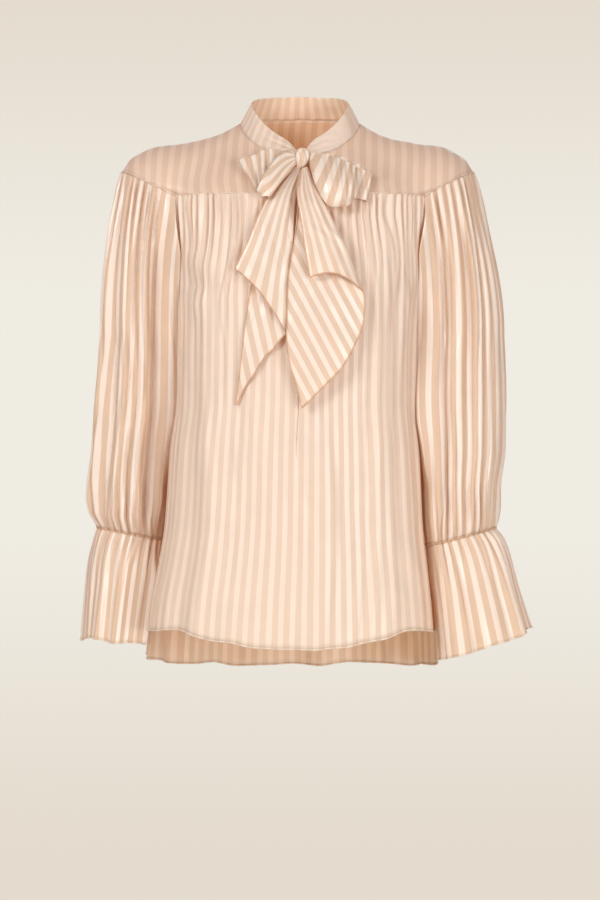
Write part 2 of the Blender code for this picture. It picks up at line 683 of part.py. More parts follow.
def tie_end(side):
    """A hanging end of the tie, folded lengthwise: its front layer to the fold, and its rear layer behind."""
    table = TIE[side]
    down = np.linspace(0, 1, 9)[:, None]
    across = np.array([0, 0.34, 0.67, 0.9, 1.0, 1.1, 1.33, 1.67, 2.0])
    front, rear = np.clip(across, 0, 1), np.clip(across - 1, 0, 1)
    lines = []
    for axis in ("x", "z"):
        edge, fold, back_edge = (table.at(f"{part}_{axis}", down) for part in ("edge", "fold", "rear"))
        lines.append(edge + (fold - edge) * front + (back_edge - fold) * rear)
    x, z = lines
    belly = TIE_BELLY[side] * down**2 * 4 * rear * (1 - rear)
    near, middle, far = TIE_OFF[side]
    off = near + (middle - near) * front**3 + (far - middle) * (1 - (1 - rear) ** 3) + 0 * x
    spread = np.clip(down * 3, 0, 1)
    off = TIE_TOP_OFF + (off - TIE_TOP_OFF) * (TIE_TOP_SPREAD + (1 - TIE_TOP_SPREAD) * spread)
    grid = on_front((x + belly) / 1000, z / 1000, off / 1000)
    return wall(*sheet(grid[:, :: SIDES[side]]))


def main():
    for old in list(bpy.data.objects):
        bpy.data.objects.remove(old, do_unlink=True)
    blouse = bpy.data.objects.new("blouse", None)
    bpy.context.scene.collection.objects.link(blouse)
    cloth = cloth_material()
    pieces = {
        "front": front(),
        "back": back(),
        "yoke_back": yoke_back(),
        "collar": collar(),
        "bow_knot": knot(),
    }
    for side in SIDES:
        pieces[f"yoke_front_{side}"] = yoke_front(side)
        pieces[f"sleeve_{side}"] = sleeve(side)
        pieces[f"cuff_{side}"] = cuff(side)
        pieces[f"bow_loop_{side}"] = loop(side)
        pieces[f"tie_end_{side}"] = tie_end(side)
    for name, (points, faces) in pieces.items():
        add(name, points, faces, cloth, blouse)


main()
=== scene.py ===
"""A blouse of striped silk with a tied bow collar, dressed over its CAD frame.

Metres, +Z up. The blouse faces -Y and the wearer's left is at +X. Each piece of cloth is a surface
over two parameters, worked out from a few tables of sections. Gathers, folds and creases are waves on
these surfaces. The stripes follow the piece's own UV map, which holds the place of each point on the
flat cut, in metres.
"""

import math

import bpy
import numpy as np
from bpy.props import FloatProperty, FloatVectorProperty, PointerProperty
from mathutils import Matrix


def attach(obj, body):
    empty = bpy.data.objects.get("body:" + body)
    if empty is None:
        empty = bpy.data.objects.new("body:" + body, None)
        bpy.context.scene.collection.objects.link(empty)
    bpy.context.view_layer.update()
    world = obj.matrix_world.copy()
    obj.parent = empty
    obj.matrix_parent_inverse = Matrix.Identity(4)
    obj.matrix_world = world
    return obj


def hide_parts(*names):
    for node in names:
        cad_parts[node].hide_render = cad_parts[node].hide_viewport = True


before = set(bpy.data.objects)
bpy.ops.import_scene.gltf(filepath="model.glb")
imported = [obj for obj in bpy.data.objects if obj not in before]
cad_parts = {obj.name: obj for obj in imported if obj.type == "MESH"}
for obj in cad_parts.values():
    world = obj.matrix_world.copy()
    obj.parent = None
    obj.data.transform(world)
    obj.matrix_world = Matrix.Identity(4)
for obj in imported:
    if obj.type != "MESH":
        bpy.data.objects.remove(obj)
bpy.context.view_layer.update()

bl_info = {
    "name": "Tie-neck blouse",
    "version": (1, 0, 0),
    "blender": (4, 5, 0),
    "location": "View3D > Sidebar > Blouse",
    "description": "Builds a striped silk blouse with a yoke, gathers, flared cuffs and a tied bow",
    "category": "Object",
}

SEAM = 0.0005  # from the edge of one panel to the next across a seam
SIDES = {"left": 1, "right": -1}  # the wearer's sides, by the sign of X


class Table:
    """Rows of numbers in named columns. Between the rows, a monotone cubic curve in the first column.

    A star before a column's name marks millimetres, which are turned into metres.
    """

    def __init__(self, names, numbers):
        self.names = names.replace("*", "").split()
        scale = [1000 if name[0] == "*" else 1 for name in names.split()]
        self.rows = np.array(numbers.split(), float).reshape(-1, len(scale)) / scale

    def at(self, name, where):
        """The named column where the first column has these values; past the ends, the end's value."""
        x, y = self.rows[:, 0], self.rows[:, self.names.index(name)]
        gap = np.diff(x)
        slope = np.diff(y) / gap
        same = slope[1:] * slope[:-1] > 0
        total = np.where(same, slope[1:] + slope[:-1], 1.0)
        inner = np.where(same, 2 * slope[1:] * slope[:-1] / total, 0.0)
        lean = np.concatenate([slope[:1], inner, slope[-1:]])
        where = np.clip(np.asarray(where, float), x[0], x[-1])
        i = np.clip(np.searchsorted(x, where, side="right") - 1, 0, len(gap) - 1)
        t = (where - x[i]) / gap[i]
        start = (1 + 2 * t) * (1 - t) ** 2 * y[i] + t * (1 - t) ** 2 * gap[i] * lean[i]
        end = t * t * (3 - 2 * t) * y[i + 1] - t * t * (1 - t) * gap[i] * lean[i + 1]
        return start + end


# Body: one ring for each height. The centre is off the middle line: the blouse hangs a little askew.
TORSO = Table(
    "*height *centre *half_width *front_depth *back_depth",
    """
    -690 -10.5 184 130 124
    -630 -9.5 180.5 129 121
    -590 -8.5 176.5 128 118
    -540 -6.5 169 126 114
    -500 -5.5 163.5 124 111
    -400 -4.5 157 122 107
    -340 -3.5 151.5 122 105
    -260 -2 152 125 105
    -215 -1 154 125 106
    -160 0 162 121 105
    -120 0 171 115 102
    -91 0 177 107 98
    -60 0 180 88 92
    -30 0 180 68 85
    """,
)
SQUARENESS = 0.15  # how far the rings are fuller than ellipses
UNDERARM = -0.215
CORNER = math.radians(55)  # where the yoke's seam meets the armhole, from the centre front or back

# Armhole: how far round from the centre front or back a body panel reaches, by the share of its depth.
ARMHOLE = Table("share angle", "0 55  0.07 56.5  0.23 60.5  0.56 69  0.8 77  0.92 83  1 90")

# Yoke: its neck edge, the height of its seams, and how far the shoulder line rises over a straight one.
NECK = {"half_width": 0.074, "front": 0.076, "back": 0.063}
NECK_HEIGHT = Table("angle *height", "0 -45  30 -36  60 -16  90 6  135 16  180 20")
FRONT_SEAM = -0.091
BACK_SEAM = Table("angle *height", "0 -114  30 -112  55 -105")
TIP = {"left": (0.2165, 0.000, -0.055), "right": (0.2225, 0.000, -0.055)}  # out from the middle, Y, Z
SHOULDER_RISE = Table("share *rise", "0 0  0.2 -2.5  0.5 4.5  0.77 15.2  0.92 12.8  1 0")
RISE_START = math.radians(15)  # the shoulder's rise grows from this angle round the neck to the shoulder
BACK_FULLNESS = 0.007
YOKE_GAP_ANGLE = 0.004  # half the gap between two yokes, as an angle round the neck

# Collar: the upper edge of the standing band.
COLLAR_TOP = {"half_width": 0.0605, "front": 0.058, "back": 0.048}
COLLAR_HEIGHT = Table("angle *height", "0 -31  36 -8  60 12  90 31  135 43  180 47")
COLLAR_END_ANGLES = np.radians((1, 19))  # the stretch of each end that runs forward into the knot
COLLAR_END_HEIGHT, COLLAR_END_APART, COLLAR_END_RISE = 0.007, 0.0046, 0.0037
COLLAR_LIFT, COLLAR_THICKNESS = 0.0011, 0.0014  # the band's lower edge over the yoke's; two layers
COLLAR_CREASE, COLLAR_LUMPS = 0.0011, 0.0007  # depths

# Hems, by the share of the way from the middle of the panel to its side; minus is the wearer's right.
FRONT_HEM = Table(
    "share *height",
    "-1 -627.5  -0.55 -623.5  -0.3 -635  0 -644.5  0.15 -644.5  0.35 -634  0.55 -623.5  1 -627.5",
)
BACK_HEM = Table("share *height", "-1 -656  -0.8 -668  0 -676  0.8 -674  1 -660")
SLIT, SLIT_ROLL = 0.318, 0.0006  # length of the centre-front slit, and radius of its edges
SLIT_LAP = (0.0016, 0.0012)  # how far they stand back and aside

# Gathers and folds.
GATHERS = {"front": 20.0, "back": 18.0}  # on half of the cut's width
DRAWN_TO, DRAWN_OVER = 0.775, 0.13  # how far the gathers draw the cut in at the seam, and how far down
GATHER_DEPTH = Table("*down *depth", "0 1.1  6 1.9  20 2.6  50 2  100 1  160 0.3  200 0")
BACK_WAVES, BACK_WAVE_DEPTH = 7, 0.0075
HEM_WAVER = {"front": (13, 0.0013), "back": (9, 0.0032)}  # random waves on half the hem, and their height
LONG_FOLD, FINE_FOLD, PANEL_LUMPS = 0.0024, 0.0012, 0.0008  # depths of the random folds down the body
PANEL_SEEDS = {"front": 20, "back": 40}
FRONT_CREASES = (  # on the cut: across and down at both ends, width, depth
    (-0.203, 0.070, -0.104, 0.098, 0.012, 0.0030),
    (-0.209, 0.098, -0.110, 0.124, 0.011, -0.0030),
    (-0.187, 0.150, -0.132, 0.125, 0.009, 0.0016),
    (0.176, 0.040, 0.130, 0.190, 0.008, -0.0024),
    (0.196, 0.050, 0.149, 0.210, 0.008, 0.0024),
    (0.220, 0.090, 0.132, 0.135, 0.014, 0.0010),
    (-0.033, 0.30, -0.143, 0.50, 0.013, 0.0016),
    (0.055, 0.33, 0.176, 0.52, 0.015, -0.0016),
)
FRONT_FOLDS = (  # place across the panel, width, depth at the hem
    (-0.80, 0.09, 0.0030),
    (-0.52, 0.08, -0.0030),
    (-0.18, 0.07, 0.0025),
    (0.30, 0.08, -0.0030),
    (0.62, 0.08, 0.0030),
    (0.84, 0.08, -0.0025),
)

# Sleeves: rings from the upper arm to the wrist. Inner and outer are distances from the middle line.
SLEEVE = {
    "left": Table(
        "*height *inner *outer *depth *sway",
        """
        -510 161.5 240.5 40 -32
        -503 161 242 45 -32
        -488 159 243 51 -31
        -460 157 244 56 -30
        -400 153.5 251.5 59 -26
        -340 150 253.5 60 -18
        -260 153.5 252 60 -6
        """,
    ),
    "right": Table(
        "*height *inner *outer *depth *sway",
        """
        -507 172 254.5 40 36
        -500 171.5 257 45 36
        -485 170 263.5 51 35
        -460 167 264.5 56 34
        -400 162 259.5 59 28
        -340 157 255 60 20
        -260 157 246.5 60 6
        """,
    ),
}
SLEEVE_TOP_RING = -0.260
HEAD_COLUMNS, UNDER_COLUMNS = 20, 6  # columns of a quarter: along the head's gathers and the underarm
ARM_GATHERS = HEAD_COLUMNS + UNDER_COLUMNS  # all round
SLEEVE_LAP = (0.0155, 151, 13, 0.95)  # a soft fold beside the body: depth, angle, width, share forward
ARM_LONG_FOLD, ARM_FINE_FOLD = 0.0040, 0.0013  # depths of the random folds down the arm
HEAD_DEPTH = Table("share *depth", "0 1.1  0.035 2.1  0.12 2.8  0.5 1.8  1 1.1")
ARM_DEPTH = Table("*height *depth", "-510 1  -503 2.2  -485 2.8  -440 1.8  -360 1  -260 1.1")
SLEEVE_SEAM = Table("turn *out *down", "0 0.7 1.1  1 1.3 0.7  1.4 1.3 0  2 2.1 0")
SLEEVE_FOLDS = {  # angle round the arm from its outer side towards the front, width, depth
    "left": (
        (35, 11, 0.0035),
        (60, 6, -0.0050),
        (84, 7, -0.0085),
        (104, 9, 0.0035),
        (124, 7, -0.0095),
        (142, 7, 0.0030),
        (215, 12, -0.0040),
        (275, 12, -0.0050),
    ),
    "right": (
        (30, 10, 0.0030),
        (58, 7, -0.0050),
        (86, 7, -0.0080),
        (105, 8, 0.0040),
        (122, 7, -0.0100),
        (142, 7, 0.0030),
        (220, 12, -0.0040),
        (280, 12, -0.0050),
    ),
}

# Wrist and cuff. The wrist's ring and the cuff's hem slant from the outer side to the inner.
WRIST = {"left": (-0.4990, -0.5210), "right": (-0.4990, -0.5150)}
TUCK = {"left": (0.0045, 0.0070), "right": (0.0, 0.0)}  # towards the body at the wrist and the hem
CUFF_HEM = {"left": (-0.6200, -0.6640), "right": (-0.6380, -0.6456)}
CUFF = {
    "left": Table(
        "down *inner *outer *depth *sway",
        """
        0 161.5 240.5 40 -32
        0.12 163.2 251 43 -32
        0.3 166 260.5 46.5 -33
        0.6 171 272 51 -34
        1 175.5 288 56 -35
        """,
    ),
    "right": Table(
        "down *inner *outer *depth *sway",
        """
        0 172 254.5 40 36
        0.12 175 260 43 36
        0.3 179.2 265.5 45.5 37
        0.6 185.5 268.5 48 38
        1 192.5 272.5 51 40
        """,
    ),
}
CUFF_WAVES, CUFF_WAVE_DEPTH = 8, 0.0030
CUFF_HEM_WAVER, CUFF_BROAD_FOLD, CUFF_SMALL_FOLD = 0.0034, 0.0040, 0.0027  # random ones
CUFF_LAP = {"left": (0.0, 149, 17, 1.0), "right": (0.0120, 149, 17, 1.0)}  # like the sleeves'
CUFF_GATHER = Table("down *depth", "0 0.9  0.05 1.7  0.13 1.2  0.3 0")

# Bow, in millimetres: X and Z of edges as seen from the front, and how far they stand off the front.
KNOT_CENTRE, KNOT_HALF = (0.0030, -0.0480), (0.0080, 0.0080, 0.0122)
KNOT_OFF, KNOT_SHEAR, KNOT_GROOVE_DEPTH = 0.0130, 0.34, 0.26
KNOT_GROOVES = ((4.25, 0.55), (5.35, 0.4), (2.0, 0.5))  # angle round the knot, and its change downward
LOOP = {
    "left": Table(
        "along top_x top_z low_x low_z off",
        """
        0 11.7 -42.5 11.7 -55 9
        0.15 34 -42 30 -76 5
        0.35 74 -56 66 -92 4
        0.45 88 -69 82 -103 5
        0.52 86 -67 79 -101 9
        0.575 76 -63 70 -99 9
        0.61 70 -61 67 -99 17
        0.7 62 -57 57 -109 22
        0.8 50 -51 38.5 -111 25
        0.9 33 -45 22 -90 24
        1 11.7 -42 11.7 -56 15
        """,
    ),
    "right": Table(
        "along top_x top_z low_x low_z off",
        """
        0 -5.6 -42.5 -5.6 -55 9
        0.15 -22 -38 -20 -70 5
        0.35 -52 -41 -42 -84 4
        0.47 -77 -50 -50 -92 6
        0.53 -77 -50 -50 -93 11
        0.65 -58 -45 -47 -98 18
        0.8 -38 -37 -38 -98 23
        0.9 -21 -37 -19 -74 21
        1 -5.6 -42 -5.6 -56 15
        """,
    ),
}
TIE = {  # the two edges and the lengthwise fold between them, from the knot down to the slanting end
    "left": Table(
        "down edge_x edge_z fold_x fold_z rear_x rear_z",
        """
        0 2.4 -60.9 8.6 -58.7 3 -60.8
        0.25 -3.6 -91.8 24.8 -97.8 -6 -147.1
        0.5 1.2 -125.5 40.5 -129.1 -14 -205
        0.75 6 -160.4 58.3 -166.4 -16 -274
        1 12 -197.7 75.9 -213.4 2.4 -353
        """,
    ),
    "right": Table(
        "down edge_x edge_z fold_x fold_z rear_x rear_z",
        """
        0 -4.6 -57.9 0.7 -60.6 -3.4 -57.9
        0.25 -31.5 -88 -6 -108.6 -35.7 -133.9
        0.5 -48.5 -118.2 -8.4 -158 -58 -202.5
        0.75 -62.6 -153.2 -14.4 -206.1 -68.6 -274.8
        1 -78.3 -185.7 -15.7 -265.1 -77.1 -349.4
        """,
    ),
}
LEAST_OFF = 1.8  # no part of the bow is nearer to the front than this, in millimetres
TIE_OFF = {"left": (24, 18, 13), "right": (11, 8, 5)}  # edge, fold and rear, in millimetres off the front
TIE_TOP_OFF, TIE_TOP_SPREAD = 6.5, 0.2  # at the knot: the layers' offset, and what is left of their spread
TIE_BELLY = {"left": 25, "right": 0}  # how far the rear layer's end bulges outward, in millimetres
TIE_LIFT = {"left": (12, 0), "right": (9, 9)}  # how far the middles of the hem's two halves are raised

# Steps and cuts of the cloth.
BODY_STEPS, FRONT_COLUMNS, BACK_COLUMNS = 98, 170, 156
YOKE_STEPS, YOKE_ROUNDS = 34, 120  # rows, and rounds of smoothing
SLEEVE_FINE = 5  # columns of a sleeve for each one of its seams' columns
SLEEVE_STEPS, CUFF_STEPS, COLLAR_STEPS = (33, 64), 44, 26  # a sleeve's above and below its top ring
KNOT_STEPS, LOOP_STEPS, TIE_STEPS = (60, 96), (150, 66), 90
UNDERARM_BLEND = 0.10  # height over which the columns of the body take up the turn under the arm
WAIST = -0.45  # the stripes keep their pitch at this height
FULLNESS, SLEEVE_FULLNESS = 1.12, 1.06
CUFF_FULLNESS = {"left": 0.92, "right": 1.28}
YOKE_STRIPES = 0.97  # length across the cut for each metre across the yoke
YOKE_SWAY, YOKE_LUMPS = 0.0050, 0.0015  # how far the yokes' stripes sway to a side, and the lumps' height
COLLAR_CUT = (0.43, 0.030)
KNOT_CUT = (0.030, 0.056)
LOOP_CUT = (0.050, 0.17)
TIE_CUT = (0.13, 0.26)
TIE_SLANT = {"left": (0.98, 0.52), "right": (1.02, 0.22)}

# Looks and stage.
STRIPE_SOFTNESS = 0.02  # of a stripe's edge, as a share of the pitch
THREADS = (2600.0, 260.0, 1.0)  # the noise of the threads for each metre across, down and off the cut
THROUGH_CLOTH = (1.0, 0.76, 0.50)  # what the cloth leaves of the light that comes through it
# What a layer close behind takes from the ground's and the satin's colour.
LINING_SHADE = ((0.035, 0.038, 0.045), (0.044, 0.070, 0.098))
DOUBLE_TONE = (0.98, 0.91, 0.85)  # what is left of the colour where the silk is cut double
GATHERED_TONE = (0.88, 0.76, 0.66)  # and where gathers lie close together
FLOOR, FLOOR_RADIUS = -1.32, 2.35
# The backdrop that the camera sees is palest at this level; above and below it is painted darker, as
# painted shade.
EYE_LEVEL = 0.03  # Z of the direction in which the surroundings are palest
LAMPS = (  # place, aim and size of each light
    ("key", (-2.0, -2.7, 1.0), (0, 0, -0.3), 1.3),
    ("fill", (1.7, -3.0, -0.45), (0, 0, -0.35), 1.5),
    ("rear", (0.5, 3.0, 0.2), (0, 0, -0.3), 2.6),
)
LAMP_COLOUR, SURROUND_COLOUR = (0.97, 0.99, 1.0), (0.98, 0.99, 1.0, 1)
CAMERA_PLACE, CAMERA_TILT = (0, -3.5, -0.465), math.atan(50 / 2800)


def together(*parts):
    """Vectors from their parts, which may differ in shape."""
    return np.stack(np.broadcast_arrays(*parts), axis=-1)


def bell(away, width):
    return np.exp(-((away / width) ** 2))


def unit(vectors):
    return vectors / np.linalg.norm(vectors, axis=-1, keepdims=True)


def ring(angle, height, off=0.0):
    """The body's surface: a slightly squared ellipse at each height, with a depth for each half."""
    cos, sin = np.cos(angle), np.sin(angle)
    depth = np.where(cos > 0, TORSO.at("front_depth", height), TORSO.at("back_depth", height)) + off
    half_width = TORSO.at("half_width", height) + off
    x = TORSO.at("centre", height) + half_width * sin * (1 + SQUARENESS * cos**2)
    return together(x, -depth * cos * (1 + SQUARENESS * sin**2), height)


def on_front(x, height, off):
    """The point off the body's front at this X and height: Newton's rule finds the angle of that X."""
    share = (x - TORSO.at("centre", height)) / TORSO.at("half_width", height)
    angle = np.arcsin(np.clip(share, -1, 1))
    for _ in range(5):
        cos, sin = np.cos(angle), np.sin(angle)
        wrong = sin * (1 + SQUARENESS * cos**2) - share
        angle = angle - wrong / (cos * (1 + SQUARENESS * cos**2) - 2 * SQUARENESS * sin**2 * cos)
    return ring(angle, height) - together(0, off, 0)


def neck_edge(angle, size, heights):
    """An egg-shaped edge round the neck, with its height from a table."""
    cos = np.cos(angle)
    depth = np.where(cos > 0, size["front"], size["back"])
    height = heights.at("height", np.degrees(np.abs(angle)))
    return together(size["half_width"] * np.sin(angle), -depth * cos, height)


def from_middle(angle):
    """The angle from the centre front or the centre back, whichever is nearer."""
    return np.where(np.abs(angle) > math.pi / 2, math.pi - np.abs(angle), np.abs(angle))


def yoke_edge(angle, side):
    """The yoke's lower edge: along the body's seam, then a quarter ellipse up to the shoulder."""
    ahead, turn = np.abs(angle) <= math.pi / 2, from_middle(angle)
    seam = np.where(ahead, FRONT_SEAM, BACK_SEAM.at("height", np.degrees(turn)))
    seam_turn = np.clip(turn, 0, CORNER)
    along = ring(np.where(ahead, seam_turn, math.pi - seam_turn), seam)
    lift = np.clip((turn - CORNER) / (math.pi / 2 - CORNER), 0, 1) * math.pi / 2
    tip = np.array(TIP[side])
    point = along + (tip - along) * np.sin(lift)[..., None]
    point[..., 1] = tip[1] + (along[..., 1] - tip[1]) * np.cos(lift)
    point[..., 0] *= SIDES[side]
    return point


def yoke(angle, share, side):
    """Between the neck and the lower edge, with the shoulder's rise and the upper back's fullness."""
    inner = neck_edge(np.abs(angle), NECK, NECK_HEIGHT)
    inner[..., 0] *= SIDES[side]
    point = inner + (yoke_edge(angle, side) - inner) * share[..., None]
    weight = np.clip((from_middle(angle) - RISE_START) / (math.pi / 2 - RISE_START), 0, 1) ** 1.5
    point[..., 2] += weight * SHOULDER_RISE.at("rise", share)
    point[..., 1] += (np.abs(angle) > math.pi / 2) * (1 - weight) * BACK_FULLNESS * 4 * share * (1 - share)
    return point


def bumps(place, folds, period=None):
    """Soft ridges and troughs: a bell for each fold, by its place, width and depth."""
    total = 0 * place
    for centre, width, depth in folds:
        away = place - centre
        if period:
            away = (away + period / 2) % period - period / 2
        total = total + depth * bell(away, width)
    return total


def reach(height, behind):
    """How far round a body panel reaches: to the armhole's edge, and below it to the side seam."""
    seam = BACK_SEAM.at("height", np.degrees(CORNER)) if behind else FRONT_SEAM
    return np.radians(ARMHOLE.at("angle", (seam - height) / (seam - UNDERARM)))


def outward(angle):
    """The level direction out of a ring of the body."""
    x = np.sin(angle) * (1 + SQUARENESS * np.cos(angle) ** 2)
    y = -np.cos(angle) * (1 + SQUARENESS * np.sin(angle) ** 2)
    return unit(together(x, y, 0))


def slanted(ends, round_arm):
    """Heights on a plane that slants from the outer side to the inner."""
    outer, inner = ends
    return (outer + inner) / 2 + (outer - inner) / 2 * np.cos(round_arm)


def calm(round_arm):
    """How much of a ripple's depth is left: little where the arm's cloth lies against the body."""
    return 1 - 0.75 * bell(round_arm - math.pi, 0.45)


def tucked(round_arm, amount, side):
    """How far the inner side of the arm's cloth is pressed towards the body, in metres."""
    return SIDES[side] * -amount * bell(round_arm - math.pi, 0.62)


def arm_ring(table, where, height, round_arm, side):
    """An ellipse round the arm, from its outer side by the front to the side of the body."""
    inner, outer = table.at("inner", where), table.at("outer", where)
    x = (inner + outer) / 2 + (outer - inner) / 2 * np.cos(round_arm)
    y = table.at("sway", where) - table.at("depth", where) * np.sin(round_arm)
    return together(SIDES[side] * x, y, height)


def smooth(t):
    """From 0 to 1 with no corner at either end."""
    t = np.clip(t, 0, 1)
    return t * t * (3 - 2 * t)


def drift(place, seed, period=512, start=200):
    """Smooth random values from -1 to 1: a seeded number at each whole place, joined by smooth curves."""
    values = np.random.default_rng(seed).uniform(-1, 1, period)
    place = np.asarray(place, float) + start
    cell = np.floor(place).astype(int)
    t = smooth(place - cell)
    return values[cell % period] * (1 - t) + values[(cell + 1) % period] * t


def ring_drift(phase, whole, seed):
    """Smooth random values that meet again after the whole way round."""
    count = round(whole)
    return drift(phase * count / whole, seed, count, 0)


def crumple(across, down, seed, size=64):
    """Smooth random values over two directions: seeded numbers on a lattice, joined smoothly."""
    values = np.random.default_rng(seed).uniform(-1, 1, (size, size))
    places = (np.asarray(place, float) + size / 2 for place in (across, down))
    across, down = np.broadcast_arrays(*places)
    i, j = np.floor(across).astype(int), np.floor(down).astype(int)
    s, t = smooth(across - i), smooth(down - j)
    i, j, after, below = i % size, j % size, (i + 1) % size, (j + 1) % size
    near = values[i, j] * (1 - s) + values[after, j] * s
    far = values[i, below] * (1 - s) + values[after, below] * s
    return near * (1 - t) + far * t


def gather(phase):
    """Rounded crests at the whole numbers, with narrow valleys between them."""
    return 2 * np.sqrt(np.cos(math.pi * phase) ** 2 + 0.007) - 1


def along(points):
    """The length along each line of points, from its first."""
    steps = np.linalg.norm(np.diff(points, axis=0), axis=-1)
    return np.concatenate([np.zeros((1, *steps.shape[1:])), np.cumsum(steps, axis=0)])


def grid_faces(index, cut):
    """Four corners and their places on the cut for each cell of a grid of point numbers."""
    four = [np.stack([g[:-1, :-1], g[1:, :-1], g[1:, 1:], g[:-1, 1:]], axis=2) for g in (index, cut)]
    return four[0].reshape(-1, 4), four[1].reshape(-1, 4, 2)


def wrapped(index):
    """The grid of point numbers with its first column again after its last."""
    return np.concatenate([index, index[:, :1]], axis=1)


def make(name, points, faces, places, material, thickness=0.0):
    """A piece from points, faces of four corners and their places on the cut. Solidify thickens it."""
    used, index = np.unique(faces, return_inverse=True)
    mesh = bpy.data.meshes.new(name)
    mesh.from_pydata(points[used].tolist(), [], index.reshape(-1, 4).tolist())
    mesh.uv_layers.new(name="cut").data.foreach_set("uv", places.astype(np.float32).ravel())
    mesh.shade_smooth()
    mesh.materials.append(material)
    piece = bpy.data.objects.new(name, mesh)
    bpy.context.scene.collection.objects.link(piece)
    if thickness:
        wall = piece.modifiers.new("thickness", "SOLIDIFY")
        wall.thickness = thickness
        wall.offset = 0.0
    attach(piece, "root")
    return piece


def cloth(name, grid, cut, material, thickness, closed=False, flip=False):
    """A sheet of cloth from a grid of points. A closed one has one more column of places than of points."""
    index = np.arange(grid.shape[0] * grid.shape[1]).reshape(grid.shape[:2])
    if closed:
        index = wrapped(index)
    if flip:
        index, cut = index[:, ::-1], cut[:, ::-1]
    return make(name, grid.reshape(-1, 3), *grid_faces(index, cut), material, thickness)


def cords(name, paths, material):
    """Round cords along paths: a circle of eight points carried along each, with a small cap at open ends.

    Each path is (points, radius, the direction that is up, place across the cut, whether it is a ring).
    """
    points, faces, places, start = [], [], [], 0
    turn = np.linspace(0, 2 * math.pi, 9)
    around = turn[:-1, None]
    for line, radius, up, across, ring_like in paths:
        radius, up = np.broadcast_to(radius, len(line)), np.broadcast_to(up, line.shape)
        if ring_like:
            ahead = unit(np.roll(line, -1, axis=0) - np.roll(line, 1, axis=0))
        else:
            ahead = unit(np.gradient(line, axis=0))
            rows = (line, radius, up, across, ahead)
            line, radius, up, across, ahead = (np.concatenate([row[:1], row, row[-1:]]) for row in rows)
            radius[[0, -1]] *= 0.02
        side = unit(np.cross(ahead, up))
        over = np.cross(side, ahead)
        circle = np.cos(around) * side[:, None] + np.sin(around) * over[:, None]
        points.append((line[:, None] + radius[:, None, None] * circle).reshape(-1, 3))
        index = wrapped(start + np.arange(len(points[-1])).reshape(-1, 8))
        cut = together(across[:, None], turn * radius[:, None])
        if ring_like:
            index, cut = np.concatenate([index, index[:1]]), np.concatenate([cut, cut[-1:]])
        got = grid_faces(index[:, ::-1], cut[:, ::-1])
        faces.append(got[0])
        places.append(got[1])
        start += len(points[-1])
    return make(name, *map(np.concatenate, (points, faces, places)), material)


def uneven(count, seed, size, amount=0.14):
    """A radius that varies a little along a rolled edge."""
    return size * (1 + amount * drift(np.arange(count) * 0.37, seed))


# Body.


def cut_across(share, behind):
    """Place across the cut: the length round the waist up to this share, with the cloth's fullness."""
    turns = np.linspace(0, math.pi / 2, 200)
    line = ring(math.pi - turns if behind else turns, np.full(200, WAIST))
    return np.sign(share) * np.interp(np.abs(share) * math.pi / 2, turns, along(line)) * FULLNESS


def drawn_in(down):
    """What the gathers leave of the cut's width, by the distance below the seam."""
    return DRAWN_TO + (1 - DRAWN_TO) * smooth(down / DRAWN_OVER)


def creases(across, down, rows):
    """Soft ridges along straight lines on the cut: a bell across each one, with a fade to both ends."""
    total = 0 * (across + down)
    for x0, y0, x1, y1, width, depth in rows:
        run, fall = x1 - x0, y1 - y0
        place = ((across - x0) * run + (down - y0) * fall) / (run**2 + fall**2)
        away = ((across - x0) * fall - (down - y0) * run) / math.hypot(run, fall)
        total = total + depth * bell(away, width) * np.sin(math.pi * np.clip(place, 0, 1)) ** 2
    return total


